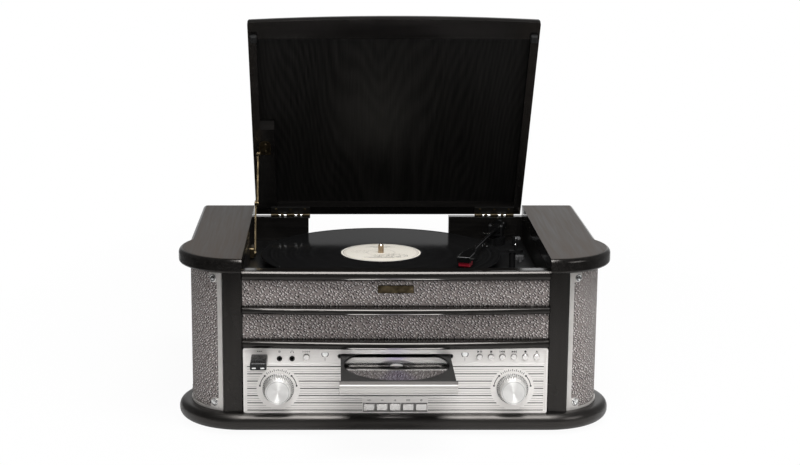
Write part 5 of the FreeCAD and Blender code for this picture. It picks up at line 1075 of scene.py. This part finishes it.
def back_screws():
    screws = Form()
    for x in (-BACK_EDGE_X, -70, 70, BACK_EDGE_X):
        screws.screw(mm(x, BACK_Y, 33), BACK, BACK_SCREW, x)
    for x in (-BACK_EDGE_X, BACK_EDGE_X):
        for z, turn_deg in ((110, 40), (188, 80)):
            screws.screw(mm(x, BACK_Y, z), BACK, BACK_SCREW, x + turn_deg)
    screws.piece("back_screws", "cabinet", chrome, "screw_steel")


def screw_cups():
    """Rings under the round head screws of the speaker frames."""
    cups = Form()
    inset = CUP_INSET / POD_RADIUS
    for side in (-1, 1):
        for turn in (POD_START + inset, POD_END - inset):
            out = Vector((side * math.sin(turn), -math.cos(turn), 0))
            for z in CUPS_Z:
                cups.lathe(CUP, mm(side * POD_X, POD_Y, z) + out * CUP_RADIUS, out, 28)
    cups.piece("screw_cups", "cabinet", chrome, "screw_steel")


# Stage, light and camera
FLOOR_SIDE = 0.62
FLOOR_FRONT = -0.64
FLOOR_BACK = 1.4
CAMERA_PLACE = (-0.06813, -2.01473, 0.64856)
CAMERA_TILT = math.radians(77.936)
CAMERA_LENS = 76.33
CAMERA_SHIFT = 0.07865
SENSOR_WIDTH = 36


def stage_floor():
    """A pale floor no larger than a table top, so that the lacquer mirrors it only near the foot."""
    mesh = bpy.data.meshes.new("floor")
    corners = [(-FLOOR_SIDE, FLOOR_FRONT, 0), (FLOOR_SIDE, FLOOR_FRONT, 0),
               (FLOOR_SIDE, FLOOR_BACK, 0), (-FLOOR_SIDE, FLOOR_BACK, 0)]
    mesh.from_pydata(corners, [], [[0, 1, 2, 3]])
    floor = bpy.data.objects.new("floor", mesh)
    bpy.context.scene.collection.objects.link(floor)
    mesh.materials.append(floor_white())


def floor_white():
    """White for the camera and, near the middle and the back, in reflections. Grey to the light."""
    s = Shader("floor_white", rough=0.9, spec=0.1, colour=(0.8, 0.8, 0.8))
    path = s.outputs("LightPath", {})
    mirrored = s.most(path["Is Glossy Ray"], path["Is Transmission Ray"])
    x, y = s.split(s.coords())[:2]
    sweep = s.times(s.range(y, -0.2, 0.25, 0.05, 0.95), s.range(s.size(x), 0.26, 0.45, 1.0, 0.3))
    middle = (0, (FLOOR_FRONT + FLOOR_BACK) / 2, 0)
    spot = s.vector("DIVIDE", s.around(middle), (FLOOR_SIDE, (FLOOR_BACK - FLOOR_FRONT) / 2, 1))
    seen = s.times(path["Is Camera Ray"], s.range(s.flat_radius(spot, 2), 0.5, 0.98, 0.95, 1.0))
    share = s.most(seen, s.times(mirrored, sweep))
    white = s.node("Emission", {"Color": (1, 1, 1), "Strength": 1.0})
    mixed = s.node("MixShader", {0: share, 1: s.surface.outputs[0], 2: white})
    s.feed(s.tree.nodes["Material Output"].inputs["Surface"], mixed)
    return s.material


def studio_world():
    """White for the camera. Reflections see a white sweep behind the object and a dim room in front."""
    world = bpy.data.worlds.new("studio")
    world.use_nodes = True
    bpy.context.scene.world = world
    s = Nodes(world.node_tree)
    path = s.outputs("LightPath", {})
    x, y, z = s.split(s.node("TexCoord", {}, "Generated"))
    back = s.range(y, -0.25, 0.3, 0.25, 1.0)
    right = s.range(x, -0.12, 0.1, 0.62, 1.0)
    low = s.range(z, 0.42, 0.85, 1.0, 0.12)
    narrow = s.range(s.size(x), 0.25, 0.5, 1.0, 0.3)
    sweep = s.times(s.times(back, right), s.times(low, narrow))
    mirrored = s.most(path["Is Glossy Ray"], path["Is Transmission Ray"])
    around = s.range(mirrored, 0.0, 1.0, 0.34, sweep)
    background = s.tree.nodes["Background"]
    s.feed(background.inputs["Color"], (1, 1, 1))
    s.feed(background.inputs["Strength"], s.most(path["Is Camera Ray"], around))


def softbox(name, place, target, width, height, power):
    data = bpy.data.lights.new(name, "AREA")
    data.shape = "RECTANGLE"
    data.size = width
    data.size_y = height
    data.energy = power
    light = bpy.data.objects.new(name, data)
    light.location = place
    light.rotation_euler = (Vector(target) - Vector(place)).to_track_quat("-Z", "Y").to_euler()
    bpy.context.scene.collection.objects.link(light)
    return light


def studio_lights():
    key = softbox("key", (0.35, -0.85, 2.0), (0, -0.05, 0.1), 1.6, 0.7, 42)
    key.visible_glossy = False
    softbox("side", (1.8, -1.3, 1.2), (0, 0, 0.15), 0.9, 0.9, 13)
    front = softbox("front", (-0.3, -2.6, 1.3), (0, 0, 0.15), 1.4, 0.8, 9)
    front.visible_glossy = False
    overhead = softbox("overhead", (0.05, -0.72, 1.6), (0.05, -0.72, 0), 0.8, 1.55, 72)
    overhead.visible_diffuse = False


def photo_camera():
    data = bpy.data.cameras.new("photo_camera")
    data.sensor_fit = "HORIZONTAL"
    data.sensor_width = SENSOR_WIDTH
    data.lens = CAMERA_LENS
    data.shift_x = CAMERA_SHIFT
    camera = bpy.data.objects.new("photo_camera", data)
    camera.location = CAMERA_PLACE
    camera.rotation_euler = (CAMERA_TILT, 0, 0)
    bpy.context.scene.collection.objects.link(camera)
    bpy.context.scene.camera = camera


pod_cloths()
cloth_strips()
record_label()
panel_marks()
strip_marks()
indicator_windows()
lid_pads()
front_plate()
stick_details()
brass_screws()
rest_knob()
line_rings()
back_screws()
screw_cups()
stage_floor()
studio_world()
studio_lights()
photo_camera()
bpy.context.scene.view_settings.view_transform = "Standard"
